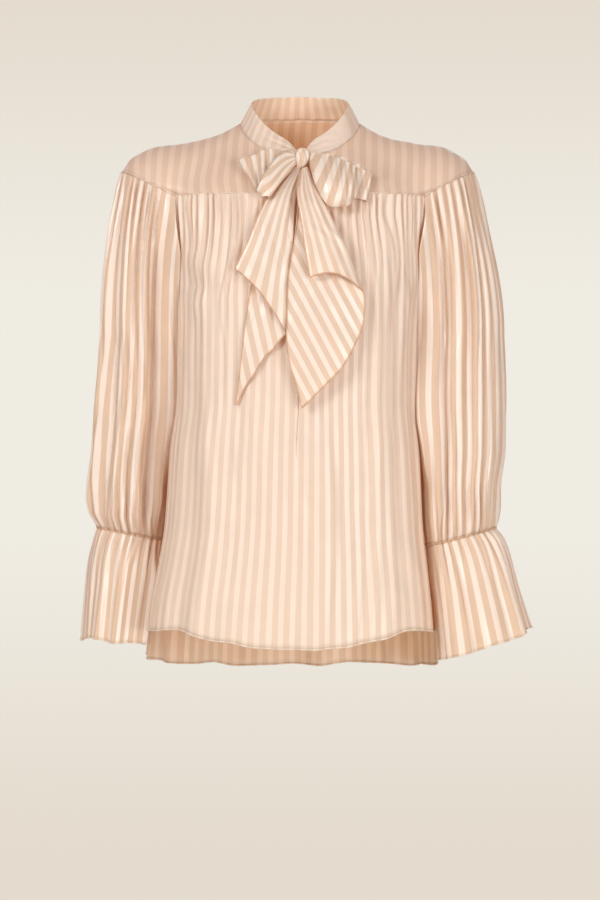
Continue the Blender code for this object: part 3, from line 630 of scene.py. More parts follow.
def panel(share, behind, settings):
    """A front or back over (share, way down): rings of the body, moved out by folds and gathers.

    Gathers are rounded ripples under the seam, each with its own depth and length. They follow the
    threads of the cut, which they draw in towards the seam. Long folds grow to the hem, and creases lie
    across them. Only the outermost columns turn sharply under the arm; the others follow late, by the
    mean of the heights above.
    """
    part = "back" if behind else "front"
    back_seam = BACK_SEAM.at("height", np.abs(share) * np.degrees(CORNER))
    top = (back_seam if behind else FRONT_SEAM + 0 * share) - SEAM
    hem = (BACK_HEM if behind else FRONT_HEM).at("height", share)
    waves, depth = HEM_WAVER[part]
    hem = hem + depth * drift(share * waves, 33) * (1 - share**8)
    down = np.linspace(0, 1, BODY_STEPS)[:, None] ** 1.35 * (top - hem)
    height = top - down
    side_gap = (np.abs(share) == 1) * SEAM / 2 / TORSO.at("half_width", height)
    late = np.mean([reach(height + rise, behind) for rise in np.linspace(0, UNDERARM_BLEND, 9)], axis=0)
    angle = share * (late + (reach(height, behind) - late) * share**6 - side_gap)
    place = angle / (math.pi / 2) / drawn_in(down)
    across = cut_across(place, behind)
    seed, count = PANEL_SEEDS[part], GATHERS[part]
    swing = 0.5 * smooth(down / 0.04) * crumple(place * 6, down * 14, seed + 7)
    phase = place * count + 0.42 * drift(place * count * 0.7, seed) + swing
    own_length = 0.92 + 0.62 * drift(phase, seed + 1)
    own_depth = settings.gather_depth * (0.92 + 0.55 * drift(phase, seed + 2))
    ripple = gather(phase) * own_depth * GATHER_DEPTH.at("depth", down / own_length)
    middle = 1 - np.abs(share) ** 8
    lean = place * count * 0.55 + 0.9 * crumple(place * 3, down * 5, seed + 5)
    soft = LONG_FOLD * drift(lean, seed + 3) * smooth((down - 0.03) / 0.2)
    soft = soft + FINE_FOLD * drift(lean * 2.3, seed + 4) * smooth((down - 0.02) / 0.1)
    if behind:
        angle = math.pi - angle
        grown = np.clip((down - 0.15) / 0.4, 0, 1) ** 1.3 * (1 - share**4)
        waves = np.cos(place * math.pi * BACK_WAVES + 1.1 * drift(place * 4, seed + 8))
        folds = BACK_WAVE_DEPTH * waves * grown
    else:
        folds = bumps(place, FRONT_FOLDS) * np.clip((down - 0.1) / 0.4, 0, 1) * middle
        soft = soft + creases(across, down, FRONT_CREASES)
    lumps = PANEL_LUMPS * crumple(place * 14, down * 16, seed + 6)
    folds = folds + (settings.fold_depth * soft + lumps) * middle
    grid = ring(angle, height) + outward(angle) * (folds + ripple * (np.abs(share) < 0.999))[..., None]
    return grid, together(across, -down)


def front_piece(settings):
    """Two halves that share their middle line below the slit, with rolls along the hem and the slit."""
    share = np.linspace(0, 1, FRONT_COLUMNS)
    left, cut_left = panel(share, False, settings)
    right, cut_right = panel(-share[::-1], False, settings)
    open_rows = int((left[:, 0, 2] > FRONT_SEAM - SEAM - SLIT).sum())
    over = np.zeros((BODY_STEPS, 1))
    over[:open_rows, 0] = smooth(np.linspace(8, 0, open_rows))
    left[:, :, 1] += SLIT_LAP[0] * over * bell(share, 0.022)
    right[:, :, 0] += SLIT_LAP[1] * over * bell(share, 0.022)[::-1]
    index_left = np.arange(BODY_STEPS * FRONT_COLUMNS).reshape(BODY_STEPS, -1)
    index_right = index_left + index_left.size
    index_right[open_rows:, -1] = index_left[open_rows:, 0]
    both = zip(grid_faces(index_right, cut_right), grid_faces(index_left, cut_left))
    points = np.concatenate([left.reshape(-1, 3), right.reshape(-1, 3)])
    material = lined_silk(settings)
    piece = make("front_cloth", points, *map(np.concatenate, both), material, settings.thickness)
    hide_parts("front")
    hem = np.concatenate([right[-1], left[-1, 1:]])
    across = np.concatenate([cut_right[-1, :, 0], cut_left[-1, 1:, 0]])
    paths = [(hem, uneven(len(hem), 1, settings.hem_roll), (0, -1, 0), across, False)]
    for line in (left[: open_rows - 2, 0], right[: open_rows - 2, -1]):
        paths.append((line, SLIT_ROLL, (1.0, 0, 0), np.full(len(line), 0.004), False))
    trim = cords("front_hem", paths, material)


def outward_of(line):
    """The level direction away from the middle of a line of points."""
    return unit((line - line.mean(axis=0)) * (1, 1, 0) + (0, 0, 1e-9))


def back_piece(settings):
    """The back panel and its rolled hem."""
    grid, cut = panel(np.linspace(1, -1, 2 * BACK_COLUMNS + 1), True, settings)
    material = lined_silk(settings)
    piece = cloth("back_cloth", grid, cut, material, settings.thickness)
    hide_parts("back")
    hem = grid[-1]
    path = (hem, uneven(len(hem), 2, settings.hem_roll), (0, 1, 0), cut[-1, :, 0], False)
    trim = cords("back_hem", [path], material)


# Yokes and collar.


def yoke_grid(angle, side):
    """The yoke over (share from the neck, angle round it), a little uneven, with stripes that sway.

    The crease below the corner of its edge is spread out: each point moves towards the mean of its two
    neighbours in the ring, again and again, most near the corner.
    """
    angle, share = np.meshgrid(angle, np.linspace(0, 1, YOKE_STEPS))
    grid = yoke(angle, share, side)
    near = 0.25 * bell(from_middle(angle) - CORNER, 0.30)[1:-1, 1:-1, None]
    for _ in range(YOKE_ROUNDS):
        grid[1:-1, 1:-1] += near * (grid[1:-1, :-2] + grid[1:-1, 2:] - 2 * grid[1:-1, 1:-1])
    lumps = crumple(grid[..., 0] * 45, grid[..., 2] * 30 + grid[..., 1] * 20, 61)
    grid[..., 2] += YOKE_LUMPS * np.sin(share * math.pi) ** 0.7 * lumps
    fall = np.abs(grid[..., 1]) - grid[..., 2]
    sway = YOKE_SWAY * crumple(grid[..., 0] * 8, fall * 13, 63)
    return grid, together(grid[..., 0] * YOKE_STRIPES + sway, fall)


def quarter(start):
    """Angles from a middle to the shoulder's gap."""
    slant = np.linspace(CORNER, math.pi / 2 - YOKE_GAP_ANGLE, 36)
    return np.concatenate([np.linspace(start, CORNER, 40), slant[1:]])


def yoke_pieces(settings):
    """Two front yokes and a one-piece back yoke, with a piped edge where the gathers go under them."""
    material = lined_silk(settings, "doubled_silk_cloth", tone=DOUBLE_TONE)
    for side, sign in SIDES.items():
        grid, cut = yoke_grid(quarter(YOKE_GAP_ANGLE)[::sign], side)
        piece = cloth(f"yoke_front_{side}_cloth", grid, cut, material, settings.thickness)
        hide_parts(f"yoke_front_{side}")
        path = yoke_trim(grid[-1], cut[-1, :, 0], 3 + sign, settings)
        trim = cords(f"yoke_front_{side}_edge", [path], material)
    behind = math.pi - quarter(0)
    (left, cut_left), (right, cut_right) = yoke_grid(behind[::-1], "left"), yoke_grid(behind, "right")
    grid = np.concatenate([left, right[:, 1:]], axis=1)
    cut = np.concatenate([cut_left, cut_right[:, 1:]], axis=1)
    piece = cloth("yoke_back_cloth", grid, cut, material, settings.thickness)
    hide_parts("yoke_back")
    trim = cords("yoke_back_edge", [yoke_trim(grid[-1], cut[-1, :, 0], 8, settings)], material)


def yoke_trim(line, across, seed, settings):
    """The path of a puckered edge, a hair outside the cloth."""
    out = outward_of(line)
    size = uneven(len(line), seed, settings.seam_ridge, 0.45)
    return line + out * 0.0003, size, (0.0, 0.3, 1.0), across, False


def collar_piece(settings):
    """The standing band over (way up, angle round the neck). Its ends run forward into the knot.

    Soft creases fan out from the ends, where the knot pulls the band together. On the wearer's left, the
    band lies inside one satin stripe: a painted sheen, in place of stripes that the highlight washes out.
    """
    first, last = COLLAR_END_ANGLES
    angle = np.concatenate([np.linspace(first, last, 40), np.linspace(last, math.pi, 90)[1:]])
    turn = np.concatenate([angle, -angle[-2::-1]])
    low, high = neck_edge(turn, NECK, NECK_HEIGHT), neck_edge(turn, COLLAR_TOP, COLLAR_HEIGHT)
    low = low + unit(high - low) * COLLAR_LIFT
    pull = smooth((last - np.abs(turn)) / (last - first))[:, None]
    behind = on_front(*KNOT_CENTRE, KNOT_OFF - KNOT_HALF[1] - SEAM)
    ends = behind + np.sign(turn)[:, None] * (COLLAR_END_APART / 2, 0, 0)
    low = low + (ends - (0, 0, COLLAR_END_HEIGHT / 2) - low) * pull
    low[:, 2:] += COLLAR_END_RISE * np.sin(pull * math.pi)
    high = high + (ends + (0, 0, COLLAR_END_HEIGHT / 2) - high) * pull
    share = np.linspace(1, 0, COLLAR_STEPS)[:, None]
    degrees = np.degrees(turn)
    crease = np.cos(2 * math.pi * (2.6 * share + 0.6 * drift(degrees / 24, 71)))
    lumps = crumple(degrees / 9, share * 3, 72)
    moved = COLLAR_CREASE * bell(degrees, 38) * crease + COLLAR_LUMPS * lumps
    moved = np.sin(share * math.pi) ** 0.6 * moved * (1 - pull[:, 0])
    grid = low + (high - low) * share[..., None] + outward_of(low) * moved[..., None]
    length = along(low)
    # Painted sheen: the wearer's left of the band is held inside one satin stripe, so it shows no ground.
    satin_sheen_share = smooth((78 - degrees) / 20) * (turn > 0)
    satin = 8 * settings.stripe_pitch + 0.004 * (share - 0.55)
    cut = together(length * (1 - satin_sheen_share) + satin * satin_sheen_share, share * COLLAR_CUT[1])
    material = lined_silk(settings)
    piece = cloth("collar_cloth", grid, cut, material, COLLAR_THICKNESS)
    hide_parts("collar")
    foot = low - unit(high - low) * 0.0006
    trim = cords("collar_seam", [(foot, 0.0008, outward_of(low), length, False)], material)


# Sleeves and cuffs.


def armhole(side):
    """The armhole's edge: the yoke's slant, the body's edge to the underarm, and the same behind."""
    sign = SIDES[side]
    slants, unders = HEAD_COLUMNS * SLEEVE_FINE, UNDER_COLUMNS * SLEEVE_FINE
    head = np.linspace(math.pi / 2, CORNER, slants + 1)[:-1]
    under = np.linspace(0, 1, unders + 1)
    turns = np.concatenate([np.linspace(0, 1, slants + 1)[:-1], 1 + under])
    halves = []
    for behind in (False, True):
        seam = BACK_SEAM.at("height", np.degrees(CORNER)) if behind else FRONT_SEAM
        height = seam + (UNDERARM - seam) * under
        turn = reach(height, behind)
        slant = yoke_edge(sign * (math.pi - head if behind else head), side)
        halves.append(np.concatenate([slant, ring(sign * (math.pi - turn if behind else turn), height)]))
    points = np.concatenate([halves[0][:-1], halves[1][:0:-1]])
    turns = np.concatenate([turns[:-1], turns[:0:-1]])
    points[:, 0] += sign * SLEEVE_SEAM.at("out", turns)
    points[:, 2] -= SLEEVE_SEAM.at("down", turns)
    return points, turns


def arm_across(side, round_arm, table, where, fullness):
    """Place across the cut: the length round the arm at one ring, and the whole length at the end."""
    return along(arm_ring(table, where, 0.0, np.append(round_arm, 2 * math.pi), side)) * fullness


def arm_columns(sign):
    """For each column of a sleeve or cuff, the angle round the arm and the gathers' phase and jitter."""
    count = ARM_GATHERS * 2 * SLEEVE_FINE
    phase = np.arange(count) / (2 * SLEEVE_FINE)
    turn = 2 * math.pi * phase / ARM_GATHERS
    jitter = 0.2 * np.sin(turn * 5 + sign) + 0.12 * np.sin(turn * 11)
    return np.arange(count) * 2 * math.pi / count, phase, jitter


def lapped(degrees, lap, sign):
    """How far a soft fold beside the body moves the arm's cloth inward and forward."""
    depth, angle, width, ahead = lap
    return (depth * bell(degrees - angle, width))[..., None] * (-0.72 * sign, -ahead, 0)


def sleeve_piece(side, settings):
    """The sleeve over (way down, angle round the arm).

    From the armhole to the upper arm, each line is a cubic curve that leaves the seam outward and arrives
    straight down. Below, there is a ring for each height. Gathers run from the head and from the wrist,
    and long folds join them. One fold laps over the side of the body.
    """
    loop, turns = armhole(side)
    table, sign = SLEEVE[side], SIDES[side]
    round_arm, phase, jitter = arm_columns(sign)
    first = arm_ring(table, SLEEVE_TOP_RING, SLEEVE_TOP_RING, round_arm, side)
    chord = np.linalg.norm(first - loop, axis=1, keepdims=True)
    leave = together(sign * (0.14 + 0.01 * np.cos(round_arm)), -0.35 * np.sin(round_arm), -0.9)
    leave, arrive = unit(leave) * chord, np.array([0, 0, -1]) * chord
    t = (np.linspace(0, 1, SLEEVE_STEPS[0] + 1)[:-1] ** 1.3)[:, None, None]
    a, b = (1 + 2 * t) * (1 - t) ** 2, t * (1 - t) ** 2
    c, d = t * t * (3 - 2 * t), -t * t * (1 - t)
    upper = a * loop + b * leave + c * first + d * arrive
    heights = np.linspace(SLEEVE_TOP_RING, table.rows[0, 0], SLEEVE_STEPS[1])[:, None]
    low = slanted(WRIST[side], round_arm) + SEAM / 2
    near = np.clip((SLEEVE_TOP_RING - heights) / (SLEEVE_TOP_RING - heights[-1]), 0, 1)
    lower = arm_ring(table, heights, heights + near**3 * (low - heights[-1]), round_arm, side)
    points = np.concatenate([upper, lower])
    t = t[:, :, 0]
    head = HEAD_DEPTH.at("depth", t) * np.where(turns < 1.05, 1, 0.35 + 0.65 * t)
    depths = np.concatenate([head, ARM_DEPTH.at("depth", heights) + 0 * round_arm])
    seed, whole = 100 + sign, ARM_GATHERS
    way = np.linspace(0, 1, len(points))[:, None]
    wander = 0.55 * smooth(way * 5) * smooth((1 - way) * 6) * crumple(way * 4, 1, seed)
    own = 0.92 + 0.65 * ring_drift(phase, whole, seed + 3)
    ripple = gather(phase + jitter + wander) * depths * own * settings.gather_depth
    degrees, height = np.degrees(round_arm), points[:, :, 2]
    inside = np.clip((-0.09 - height) / 0.08, 0, 1) * np.clip((height + 0.505) / 0.04, 0, 1)
    shifted = phase / 1.7 + 0.8 * crumple(way * 3, phase / 6, seed + 5)
    long_folds = ring_drift(shifted, whole / 1.7, seed + 6) * smooth(way * 7) * smooth((1 - way) * 9)
    finer = phase * 1.6 + 0.7 * crumple(way * 5, phase / 3, seed + 8)
    fine_folds = ring_drift(finer, whole * 1.6, seed + 7) * smooth(way * 7) * smooth((1 - way) * 12)
    folds = inside * bumps(degrees, SLEEVE_FOLDS[side], 360)
    folds = folds + settings.fold_depth * (ARM_LONG_FOLD * long_folds + ARM_FINE_FOLD * fine_folds)
    out = unit((points - points.mean(axis=1, keepdims=True)) * (1, 1, 0.15))
    points = points + out * (calm(round_arm) * (ripple + folds))[..., None]
    beside = smooth(way * 9) * np.clip((height + 0.45) / 0.08, 0, 1)
    points = points + beside[..., None] * lapped(degrees - 7 * smooth(way * 4), SLEEVE_LAP, sign)
    near_wrist = smooth((-0.36 - height) / 0.14)
    points[..., 0] += tucked(round_arm, TUCK[side][0] * near_wrist, side)
    cut = together(arm_across(side, round_arm, table, -0.40, SLEEVE_FULLNESS), -0.5 * way)
    material = striped_silk(settings)
    piece = cloth(f"sleeve_{side}_cloth", points, cut, material, settings.thickness, True, sign < 0)
    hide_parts(f"sleeve_{side}")
    return points[-1]


def cuff_piece(side, wrist, settings):
    """The flared cuff over (way down, angle round the arm), with gathers above and waves that grow down.

    Two puckered ridges lie along the seam at the wrist.
    """
    table, sign, whole = CUFF[side], SIDES[side], ARM_GATHERS
    round_arm, phase, jitter = arm_columns(sign)
    down = (np.linspace(0, 1, CUFF_STEPS) ** 1.25)[:, None]
    top, low = slanted(WRIST[side], round_arm) - SEAM / 2, slanted(CUFF_HEM[side], round_arm)
    height = top * (1 - down) + low * down
    height = height + CUFF_HEM_WAVER * down**3 * ring_drift(phase / 2.2, whole / 2.2, 151 + sign)
    points = arm_ring(table, down, height, round_arm, side)
    own = 0.95 + 0.4 * ring_drift(phase, whole, 133 + sign)
    own_length = 1.3 + 0.7 * ring_drift(phase, whole, 137 + sign)
    ripple = calm(round_arm) * gather(phase + jitter) * own * settings.gather_depth
    ripple = ripple * CUFF_GATHER.at("depth", down / own_length)
    swing = CUFF_WAVES * round_arm + 1.3 * ring_drift(phase / 3.25, whole / 3.25, 145 + sign)
    wave = CUFF_WAVE_DEPTH * down * np.cos(swing) * (0.55 + 0.45 * np.cos(round_arm))
    broad = CUFF_BROAD_FOLD * ring_drift(phase / 2, whole / 2, 141 + sign) * smooth(down * 1.2)
    small = ring_drift(phase * 1.5 + 0.6 * down, whole * 1.5, 147 + sign)
    small = CUFF_SMALL_FOLD * small * smooth(down * 2)
    soft = settings.fold_depth * (broad + small) * calm(round_arm)
    out = unit((points - points.mean(axis=1, keepdims=True)) * (1, 1, 0))
    points = points + out * (ripple + wave + soft)[..., None]
    points = points + smooth(down * 2.5)[..., None] * lapped(np.degrees(round_arm), CUFF_LAP[side], sign)
    at_wrist, at_hem = TUCK[side]
    points[..., 0] += tucked(round_arm, at_wrist + (at_hem - at_wrist) * down, side)
    across = arm_across(side, round_arm, table, 1.0, CUFF_FULLNESS[side])
    cut = together(across, -0.14 * down)
    material = striped_silk(settings)
    piece = cloth(f"cuff_{side}_cloth", points, cut, material, settings.thickness, True, sign < 0)
    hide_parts(f"cuff_{side}")
    hem, across = points[-1], across[:-1]
    path = (hem, uneven(len(hem), 5, settings.hem_roll), outward_of(hem), across, True)
    trim = cords(f"cuff_{side}_hem", [path], material)
    seam = (wrist + points[0]) / 2
    out = outward_of(seam)
    paths = []
    for step in (-1, 1):
        size = 0.0010 * (1 + 0.5 * np.cos(2 * math.pi * (phase * 2 + 0.25 * step)))
        paths.append((seam + out * 0.0005 + (0, 0, 0.0007 * step), size, out, across * 2, True))
    ridge = cords(f"wrist_{side}_ridge", paths, dense_silk(settings))


# Bow.


def knot_piece(settings):
    """The knot over (way down, angle round it): a full, squared ellipsoid, sheared up to a side below.

    Three slanting grooves part it into the turns of the band that is wrapped round it, and ripples run
    along them. A fan of cells closes each pole.
    """
    rows, columns = KNOT_STEPS
    around = np.linspace(0, 2 * math.pi, columns + 1)[:-1]
    around, up = np.meshgrid(around, np.linspace(0.03, math.pi - 0.03, rows))
    swell = 1.09 + 0.05 * np.sin(up) * np.cos(7 * around + 5 * up)
    for groove, slant in KNOT_GROOVES:
        away = (around - groove - slant * (up - 1.5) + math.pi) % (2 * math.pi) - math.pi
        swell = swell - KNOT_GROOVE_DEPTH * np.sin(up) * bell(away, 0.16)
    x = KNOT_HALF[0] * np.sin(up) ** 0.52 * np.cos(around) * swell
    y = KNOT_HALF[1] * np.sin(up) ** 0.8 * np.sin(around) * swell
    z = KNOT_HALF[2] * np.sign(np.cos(up)) * np.abs(np.cos(up)) ** 0.75 + KNOT_SHEAR * x * (1 - np.cos(up))
    grid = together(x, y, z) + on_front(*KNOT_CENTRE, KNOT_OFF)
    fall = np.linspace(0, KNOT_CUT[0], rows)[:, None]
    cut = together(np.linspace(0, KNOT_CUT[1], columns + 1) + 0.5 * fall, fall)
    index = wrapped(np.arange(rows * columns).reshape(rows, columns))
    faces, places = grid_faces(index, cut)
    points = np.concatenate([grid.reshape(-1, 3), grid[[0, -1]].mean(axis=1)])
    caps = []
    for row, pole, order in ((index[0], index.max() + 1, 1), (index[-1], index.max() + 2, -1)):
        corners = [np.full(columns // 2, pole), row[:-1:2], row[1::2], row[2::2]]
        caps.append(np.stack(corners, axis=1)[:, ::order])
    faces = np.concatenate([faces, *caps])
    places = np.concatenate([places, np.zeros((columns, 4, 2))])
    piece = make("bow_knot_cloth", points, faces, places, striped_silk(settings))
    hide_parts("bow_knot")


def loop_piece(side, settings):
    """A loop of the bow over (way across, way along): behind, round its far end and back in front.

    The wearer's left one is a pouch: fine pleats fall from its upper edge over a full, rounded lower
    half. On the other, a rounded fold runs from the knot to the lower tip and lies over the rest, which
    is a pleated flap. Lengths are in millimetres until the last step.
    """
    table = LOOP[side]
    way = np.linspace(0, 1, LOOP_STEPS[0])
    share = np.linspace(0, 1, LOOP_STEPS[1])[:, None]
    tops, lows = ([table.at(f"{edge}_{axis}", way) for axis in "xz"] for edge in ("top", "low"))
    x, z = (top * (1 - share) + low * share for top, low in zip(tops, lows))
    in_front = smooth((way - 0.50) / 0.10)
    from_knot = np.minimum(way, 1 - way) * 2
    offset = table.at("off", way) * (1 - 0.25 * in_front * smooth((1 - way) * 8))
    seed = 81 + SIDES[side]
    threads = LOOP_CUT[1] * way + 0 * share
    if side == "left":
        phase = x / 6.4 + 0.6 * drift(x / 9, seed) - 0.5 * share
        pleats = 1.7 * gather(phase) * (1 - 0.75 * smooth(share * 1.2)) * smooth(from_knot * 4)
        pouch = np.sin(math.pi * np.clip((way - 0.575) / 0.425, 0, 1)) ** 0.6
        belly = 10 * np.sin(math.pi * share**1.35) ** 0.8 * pouch
        threads = threads - 0.006 * share
    else:
        start = np.interp(way, (0.5, 0.65, 0.8, 0.9, 1), (1.0, 0.74, 0.38, 0.04, 0))
        over = np.clip((share - start) / (1.001 - start), 0, 1)
        rounded = smooth(over / 0.12) * np.cos(over * 1.35) ** 0.5
        flap = np.cos(2 * math.pi * (x / 11 + 0.4 * drift(share * 3, seed)))
        flap = 2.0 * flap * smooth((way - 0.45) * 8)
        fold = 9.5 * rounded + 1.1 * np.cos(2 * math.pi * 1.7 * over)
        pleats = np.where(over > 0, fold, flap - 3) * in_front * smooth((1 - way) * 6)
        belly = 1.0 * gather(way * 9 + 0.4 * share) * (1 - in_front) * smooth(from_knot * 3)
        threads = np.where((over > 0) & (way > 0.5), 0.048 * (way + share), threads)
    lumps = crumple(share * 5, way * 14, seed + 2) + 0.4 * crumple(share * 9, way * 30, seed + 3)
    off = offset + belly + pleats + lumps * smooth(from_knot * 4)
    grid = on_front(x / 1000, z / 1000, np.maximum(off, LEAST_OFF) / 1000)
    cut = together(threads, share * LOOP_CUT[0])
    material = striped_silk(settings)
    piece = cloth(f"bow_loop_{side}_cloth", grid, cut, material, settings.thickness, flip=side == "left")
    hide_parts(f"bow_loop_{side}")
    edges = [(grid[row], cut[row, :, 0], 9) for row in (0, -1)]
    trim = edge_rolls(f"bow_loop_{side}_edge", edges, material, settings)


def edge_rolls(name, edges, material, settings):
    """Fine rolled edges along lines of points, each given with its places across the cut and its seed."""
    paths = []
    for line, across, seed in edges:
        size = uneven(len(line), seed, settings.hem_roll * 0.75, 0.3)
        paths.append((line, size, (0.0, -1.0, 0.1), across, False))
    return cords(name, paths, material)


def tie_piece(side, settings):
    """A hanging end of the tie over (way down, way across): the front layer to the fold, then the rear.

    Pleats run down from the knot. The stripes of the rear layer lie on the slant, because it hangs off
    the grain. Lengths are in millimetres until the last step.
    """
    table, sign = TIE[side], SIDES[side]
    down = np.linspace(0, 1, TIE_STEPS)[:, None]
    layers = np.linspace(0, 0.9, 40), np.linspace(0.9, 1.1, 13)[1:], np.linspace(1.1, 2, 44)[1:]
    across = np.concatenate(layers)
    front, rear = np.clip(across, 0, 1), np.clip(across - 1, 0, 1)
    lines = []
    for axis in "xz":
        edge, fold, back_edge = (table.at(f"{part}_{axis}", down) for part in ("edge", "fold", "rear"))
        lines.append(edge + (fold - edge) * front + (back_edge - fold) * rear)
    x, z = lines
    x = x + TIE_BELLY[side] * down**2 * 4 * rear * (1 - rear)
    hump, rear_hump = np.sin(front * math.pi) * (across < 1), np.sin(rear * math.pi)
    lift = TIE_LIFT[side]
    z = z + down**5 * (lift[0] * hump + lift[1] * rear_hump + 1.2 * np.sin(rear * 17))
    near, middle, far = TIE_OFF[side]
    off = near + (middle - near) * front**3 + (far - middle) * (1 - (1 - rear) ** 3)
    spread = TIE_TOP_SPREAD + (1 - TIE_TOP_SPREAD) * np.clip(down * 3, 0, 1)
    off = TIE_TOP_OFF + (off - TIE_TOP_OFF) * spread
    pleats = np.cos(2 * math.pi * (2.4 * across + 0.5 * drift(down * 4, 91) + 0.3 * drift(across * 4, 92)))
    falling = smooth(down * 6) * (2.0 * np.exp(-2.6 * down) + 0.7)
    soft = 1.6 * crumple(across * 3.2, down * 5, 95 + sign)
    small = 0.5 * crumple(across * 8 + down * 3, down * 9, 99 + sign)
    flare = 2.6 * down**3 * drift(across * 3.1, 97 + sign) + 4.5 * down**9 * hump
    off = off + pleats * falling * 0.85 + (soft + small) * smooth(down * 4) + flare
    grid = on_front(x / 1000, z / 1000, np.maximum(off, LEAST_OFF) / 1000)
    level, fall = TIE_SLANT[side]
    places = np.where(across <= 1, across * TIE_CUT[0] / 2, (x * level + z * fall) / 1000)
    cut = together(places, -down * TIE_CUT[1])
    material = lined_silk(settings, "hanging_silk_cloth", 0.4)
    piece = cloth(f"tie_end_{side}_cloth", grid, cut, material, settings.thickness, flip=sign < 0)
    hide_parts(f"tie_end_{side}")
    edges = [(grid[-1], cut[-1, :, 0], 9), *((grid[:, end], cut[:, end, 0], 10) for end in (0, -1))]
    trim = edge_rolls(f"tie_end_{side}_edge", edges, dense_silk(settings), settings)


# Materials.


class Tree:
    """A node tree to add to. Sockets are set or linked, and each call hands back the node's output."""

    def __init__(self, owner, clear=True):
        owner.use_nodes = True
        self.nodes, self.links = owner.node_tree.nodes, owner.node_tree.links
        if clear:
            self.nodes.clear()

    def add(self, kind, inputs=(), out=0, **values):
        made = self.nodes.new(f"ShaderNode{kind}")
        for key, value in values.items():
            setattr(made, key, value)
        for key, value in dict(inputs).items():
            if isinstance(value, bpy.types.NodeSocket):
                self.links.new(value, made.inputs[key])
            else:
                made.inputs[key].default_value = value
        return made.outputs[out] if made.outputs else made

    def math(self, operation, first, second=0.5):
        return self.add("Math", {0: first, 1: second}, operation=operation)

    def ramp(self, value, start=(0.0, 1.0), end=(0.0, 1.0), shape="LINEAR"):
        """The value, carried over from one range to another."""
        ends = {"From Min": start[0], "From Max": start[1], "To Min": end[0], "To Max": end[1]}
        return self.add("MapRange", {"Value": value, **ends}, interpolation_type=shape)

    def colour(self, share, first, second):
        return self.add("Mix", {0: share, 6: (*first, 1), 7: (*second, 1)}, out=2, data_type="RGBA")

    def noise(self, where, scale, detail=2.0):
        return self.add("TexNoise", {"Vector": where, "Scale": scale, "Detail": detail})

    def blend(self, share, first, second):
        return self.add("MixShader", {0: share, 1: first, 2: second})


def silk(name, satin, ground, satin_roughness, settings):
    """Silk in two weaves: glossy satin stripes on a matt, thinner ground.

    The stripes are a square wave across the cut with softened edges. Fine noise, long down the stripes,
    gives the threads, and coarse noise gives a little change of tone. A share of translucence lets light
    through the folds.
    """
    material = bpy.data.materials.get(name)
    if material:
        return material
    material = bpy.data.materials.new(name)
    tree = Tree(material)
    cut = tree.add("UVMap", uv_map="cut")
    place = tree.math("MULTIPLY", tree.add("SeparateXYZ", {"Vector": cut}), 1 / settings.stripe_pitch)
    half = settings.satin_share / 2
    edges = half + STRIPE_SOFTNESS, half - STRIPE_SOFTNESS
    stripe = tree.ramp(tree.math("PINGPONG", place), edges, shape="SMOOTHSTEP")
    threads = tree.noise(tree.add("Mapping", {"Vector": cut, "Scale": THREADS}), 1.0)
    mottling = tree.noise(tree.add("TexCoord", out="Object"), 38.0, 3.0)
    tones = tree.ramp(mottling, end=(0.96, 1.03)), tree.ramp(threads, end=(0.97, 1.03))
    tone = tree.math("MULTIPLY", *tones)
    colour = {0: tree.colour(stripe, ground, satin), "Scale": tone}
    colour = tree.add("VectorMath", colour, operation="SCALE")
    height = tree.math("MULTIPLY", threads, stripe)
    bump = tree.add("Bump", {"Height": height, "Strength": 0.25, "Distance": 0.0002})
    sockets = {
        "Base Color": colour,
        "Roughness": tree.ramp(stripe, end=(settings.ground_roughness, satin_roughness)),
        "Normal": bump,
        "Sheen Weight": 0.25,
        "Sheen Roughness": 0.4,
        "Specular IOR Level": 0.65,
    }
    deeper = tree.add("VectorMath", {0: colour, 1: THROUGH_CLOTH}, operation="MULTIPLY")
    through = tree.add("BsdfTranslucent", {"Color": deeper, "Normal": bump})
    both = tree.blend(settings.see_light, tree.add("BsdfPrincipled", sockets), through)
    tree.add("OutputMaterial", {"Surface": both})
    return material


def striped_silk(settings):
    """The silk as it is where it hangs alone."""
    colours = settings.satin_colour, settings.ground_colour
    return silk("striped_silk_cloth", *colours, settings.satin_roughness, settings)


def lined_silk(settings, name="lined_silk_cloth", share=1.0, tone=(1.0, 1.0, 1.0)):
    """The same silk with a pale layer close behind it, which evens out its stripes and gloss by a share.

    The tone deepens it where it is cut double.
    """
    satin, ground = np.array(settings.satin_colour), np.array(settings.ground_colour)
    ground = ground + share * settings.evenness * (satin - ground)
    ground = ground * (1 - share * np.array(LINING_SHADE[0]))
    satin = satin * (1 - share * np.array(LINING_SHADE[1]))
    return silk(name, satin * tone, ground * tone, settings.satin_roughness * (1 + 0.5 * share), settings)


def dense_silk(settings):
    """The same silk where many gathers lie close together, deeper in colour."""
    deep = np.array(settings.ground_colour) * GATHERED_TONE
    return silk("gathered_silk_cloth", deep * 1.15, deep, settings.satin_roughness, settings)


def plain(name, colour):
    """A matt surface of one colour with a trace of mottling."""
    material = bpy.data.materials.new(name)
    tree = Tree(material, clear=False)
    sockets = tree.nodes["Principled BSDF"].inputs
    sockets["Roughness"].default_value = 0.9
    mottling = tree.noise(tree.add("TexCoord", out="Object"), 1.5)
    tree.links.new(tree.colour(mottling, [c * 0.985 for c in colour], colour), sockets["Base Color"])
    return material


# Stage.


def floor(settings):
    """A round, level floor."""
    turn = np.linspace(0, 2 * math.pi, 97)[:-1]
    points = together(FLOOR_RADIUS * np.cos(turn), FLOOR_RADIUS * np.sin(turn), FLOOR)
    mesh = bpy.data.meshes.new("floor")
    mesh.from_pydata(points.tolist(), [], [list(range(len(points)))])
    mesh.materials.append(plain("pale_paper", settings.floor_colour))
    piece = bpy.data.objects.new("floor", mesh)
    bpy.context.scene.collection.objects.link(piece)


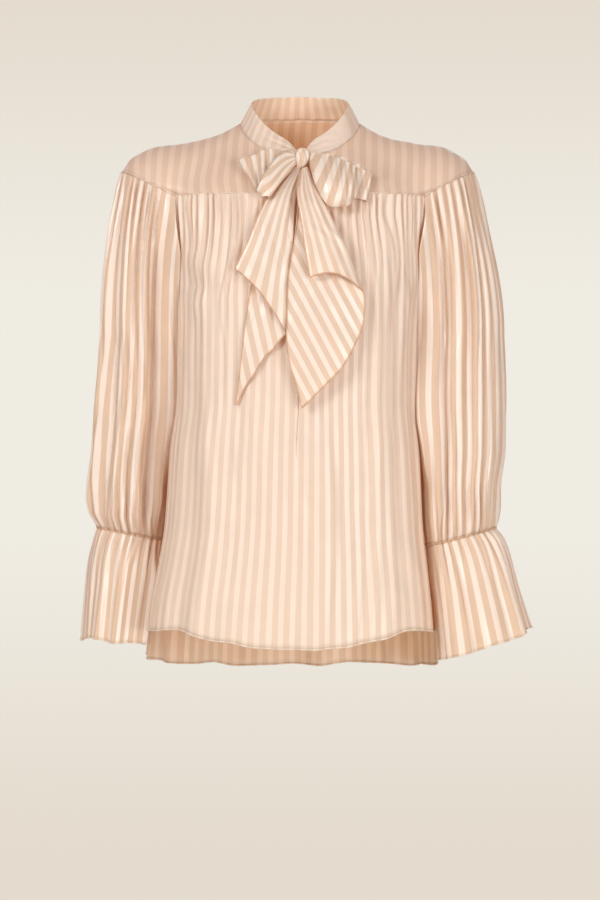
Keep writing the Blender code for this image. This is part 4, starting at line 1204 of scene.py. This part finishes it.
def surroundings(settings):
    """Light from all round, stronger from behind, and a pale paper tone past the floor.

    The paper's tone deepens a little above and below eye level: a painted shade, as if the studio light
    fell off there.
    """
    world = bpy.data.worlds.new("studio")
    tree = Tree(world)
    toward = {"Vector": tree.add("TexCoord", out="Object")}
    ahead, up = tree.add("SeparateXYZ", toward, out=1), tree.add("SeparateXYZ", toward, out=2)
    away = tree.math("ABSOLUTE", tree.math("SUBTRACT", up, EYE_LEVEL))
    # Painted shade: the backdrop that the camera sees darkens away from eye level.
    deeper = tree.ramp(away, (0.03, 0.16), shape="SMOOTHSTEP")
    strength = tree.ramp(ahead, (0.3, 0.8), (settings.surround_light, settings.back_light), "SMOOTHSTEP")
    light = tree.add("Background", {"Color": SURROUND_COLOUR, "Strength": strength})
    paper = tree.colour(deeper, settings.paper_colour, settings.paper_painted_shade)
    seen = tree.add("Background", {"Color": paper, "Strength": 1.0})
    both = tree.blend(tree.add("LightPath", out="Is Camera Ray"), light, seen)
    tree.add("OutputWorld", {"Surface": both})
    return world


def lamp(name, place, aim, size, power):
    """A soft square light that faces the point it is aimed at."""
    data = bpy.data.lights.new(name, "AREA")
    data.shape = "SQUARE"
    data.size = size
    data.energy = power
    data.color = LAMP_COLOUR
    light = bpy.data.objects.new(name, data)
    light.location = place
    ahead = np.array(aim, float) - np.array(place, float)
    flat = math.hypot(ahead[0], ahead[1])
    light.rotation_euler = (math.pi / 2 + math.atan2(ahead[2], flat), 0, math.atan2(-ahead[0], ahead[1]))
    light.visible_camera = False
    bpy.context.scene.collection.objects.link(light)


def studio(settings):
    """Pale surroundings, soft lights and the camera, level with the waist and turned up a little."""
    scene = bpy.context.scene
    scene.world = surroundings(settings)
    scene.view_settings.view_transform = "Standard"
    for name, place, aim, size in LAMPS:
        lamp(name, place, aim, size, getattr(settings, f"{name}_light"))
    data = bpy.data.cameras.new("camera")
    data.lens = 112.0
    data.sensor_width = 36.0
    data.sensor_fit = "AUTO"
    data.clip_end = 50
    camera = bpy.data.objects.new("camera", data)
    camera.location = CAMERA_PLACE
    camera.rotation_euler = (math.pi / 2 + CAMERA_TILT, 0, 0)
    scene.collection.objects.link(camera)
    scene.camera = camera


# The add-on.


class BlouseSettings(bpy.types.PropertyGroup):
    """Sizes and colours of the cloth, and the strength of the light."""

    thickness: FloatProperty(
        name="Thickness", description="Thickness of the cloth", default=0.0005, min=0.0002, unit="LENGTH"
    )
    stripe_pitch: FloatProperty(
        name="Stripe pitch", description="From one satin stripe to the next", default=0.014, unit="LENGTH"
    )
    satin_share: FloatProperty(
        name="Satin share",
        description="Width of a satin stripe as a share of the pitch",
        default=0.47,
        min=0.1,
        max=0.9,
        subtype="FACTOR",
    )
    gather_depth: FloatProperty(
        name="Gather depth", description="Depth of the gathers", default=1.15, min=0.0
    )
    fold_depth: FloatProperty(
        name="Fold depth", description="Depth of the long folds", default=1.0, min=0.0
    )
    hem_roll: FloatProperty(
        name="Hem roll", description="Radius of the rolled hems", default=0.0011, min=0.0003, unit="LENGTH"
    )
    seam_ridge: FloatProperty(
        name="Seam ridge",
        description="Radius of the yoke's edge",
        default=0.0011,
        min=0.0003,
        unit="LENGTH",
    )
    satin_colour: FloatVectorProperty(
        name="Satin",
        description="Colour of the satin stripes",
        default=(1.0, 0.955, 0.875),
        subtype="COLOR",
    )
    ground_colour: FloatVectorProperty(
        name="Ground",
        description="Colour of the ground between",
        default=(0.85, 0.695, 0.525),
        subtype="COLOR",
    )
    evenness: FloatProperty(
        name="Evenness",
        description="How far the layer behind evens out the stripes of the body",
        default=0.42,
        min=0.0,
        max=1.0,
        subtype="FACTOR",
    )
    satin_roughness: FloatProperty(name="Satin roughness", description="Lower is glossier", default=0.27)
    ground_roughness: FloatProperty(name="Ground roughness", description="Lower is glossier", default=0.62)
    see_light: FloatProperty(
        name="Translucence", description="Share of light that comes through", default=0.45, subtype="FACTOR"
    )
    floor_colour: FloatVectorProperty(
        name="Floor", description="Colour of the floor", default=(0.70, 0.667, 0.615), subtype="COLOR"
    )
    paper_colour: FloatVectorProperty(
        name="Paper",
        description="Colour past the floor at eye level",
        default=(0.871, 0.84, 0.768),
        subtype="COLOR",
    )
    # Painted shade on the backdrop above and below eye level.
    paper_painted_shade: FloatVectorProperty(
        name="Paper shade",
        description="Its colour above and below eye level",
        default=(0.776, 0.71, 0.62),
        subtype="COLOR",
    )
    key_light: FloatProperty(name="Key light", description="Power of the left light", default=80.5)
    fill_light: FloatProperty(name="Fill light", description="Power of the right light", default=68.0)
    rear_light: FloatProperty(name="Rear light", description="Power of the light behind", default=30.0)
    surround_light: FloatProperty(
        name="Surroundings", description="Strength of the light all round", default=0.385
    )
    back_light: FloatProperty(
        name="Back light", description="Strength of the light from behind", default=0.85
    )


class BLOUSE_OT_body(bpy.types.Operator):
    """Build the gathered front and back with their rolled hems"""

    bl_idname = "blouse.body"
    bl_label = "Front and back"

    def execute(self, context):
        front_piece(context.scene.blouse)
        back_piece(context.scene.blouse)
        return {"FINISHED"}


class BLOUSE_OT_yokes(bpy.types.Operator):
    """Build the front and back yokes"""

    bl_idname = "blouse.yokes"
    bl_label = "Yokes"

    def execute(self, context):
        yoke_pieces(context.scene.blouse)
        return {"FINISHED"}


class BLOUSE_OT_collar(bpy.types.Operator):
    """Build the standing collar band"""

    bl_idname = "blouse.collar"
    bl_label = "Collar"

    def execute(self, context):
        collar_piece(context.scene.blouse)
        return {"FINISHED"}


class BLOUSE_OT_sleeves(bpy.types.Operator):
    """Build both sleeves with their flared cuffs"""

    bl_idname = "blouse.sleeves"
    bl_label = "Sleeves and cuffs"

    def execute(self, context):
        settings = context.scene.blouse
        for side in SIDES:
            cuff_piece(side, sleeve_piece(side, settings), settings)
        return {"FINISHED"}


class BLOUSE_OT_bow(bpy.types.Operator):
    """Build the knot, the loops and the hanging ends of the bow"""

    bl_idname = "blouse.bow"
    bl_label = "Bow"

    def execute(self, context):
        settings = context.scene.blouse
        knot_piece(settings)
        for side in SIDES:
            loop_piece(side, settings)
            tie_piece(side, settings)
        return {"FINISHED"}


class BLOUSE_OT_stage(bpy.types.Operator):
    """Build the floor, the surroundings, the lights and the camera"""

    bl_idname = "blouse.stage"
    bl_label = "Studio"

    def execute(self, context):
        floor(context.scene.blouse)
        studio(context.scene.blouse)
        return {"FINISHED"}


class BLOUSE_PT_panel(bpy.types.Panel):
    """Sizes, colours and the steps that build the blouse"""

    bl_idname = "BLOUSE_PT_panel"
    bl_label = "Blouse"
    bl_space_type = "VIEW_3D"
    bl_region_type = "UI"
    bl_category = "Blouse"

    def draw(self, context):
        for name in BlouseSettings.__annotations__:
            self.layout.prop(context.scene.blouse, name)
        for operator in OPERATORS:
            self.layout.operator(operator.bl_idname)


OPERATORS = (
    BLOUSE_OT_body,
    BLOUSE_OT_yokes,
    BLOUSE_OT_collar,
    BLOUSE_OT_sleeves,
    BLOUSE_OT_bow,
    BLOUSE_OT_stage,
)
CLASSES = (BlouseSettings, *OPERATORS, BLOUSE_PT_panel)


def register():
    for each in CLASSES:
        bpy.utils.register_class(each)
    bpy.types.Scene.blouse = PointerProperty(type=BlouseSettings)


def unregister():
    del bpy.types.Scene.blouse
    for each in reversed(CLASSES):
        bpy.utils.unregister_class(each)


def main():
    register()
    bpy.ops.blouse.body()
    bpy.ops.blouse.yokes()
    bpy.ops.blouse.collar()
    bpy.ops.blouse.sleeves()
    bpy.ops.blouse.bow()
    bpy.ops.blouse.stage()


if __name__ == "__main__":
    main()
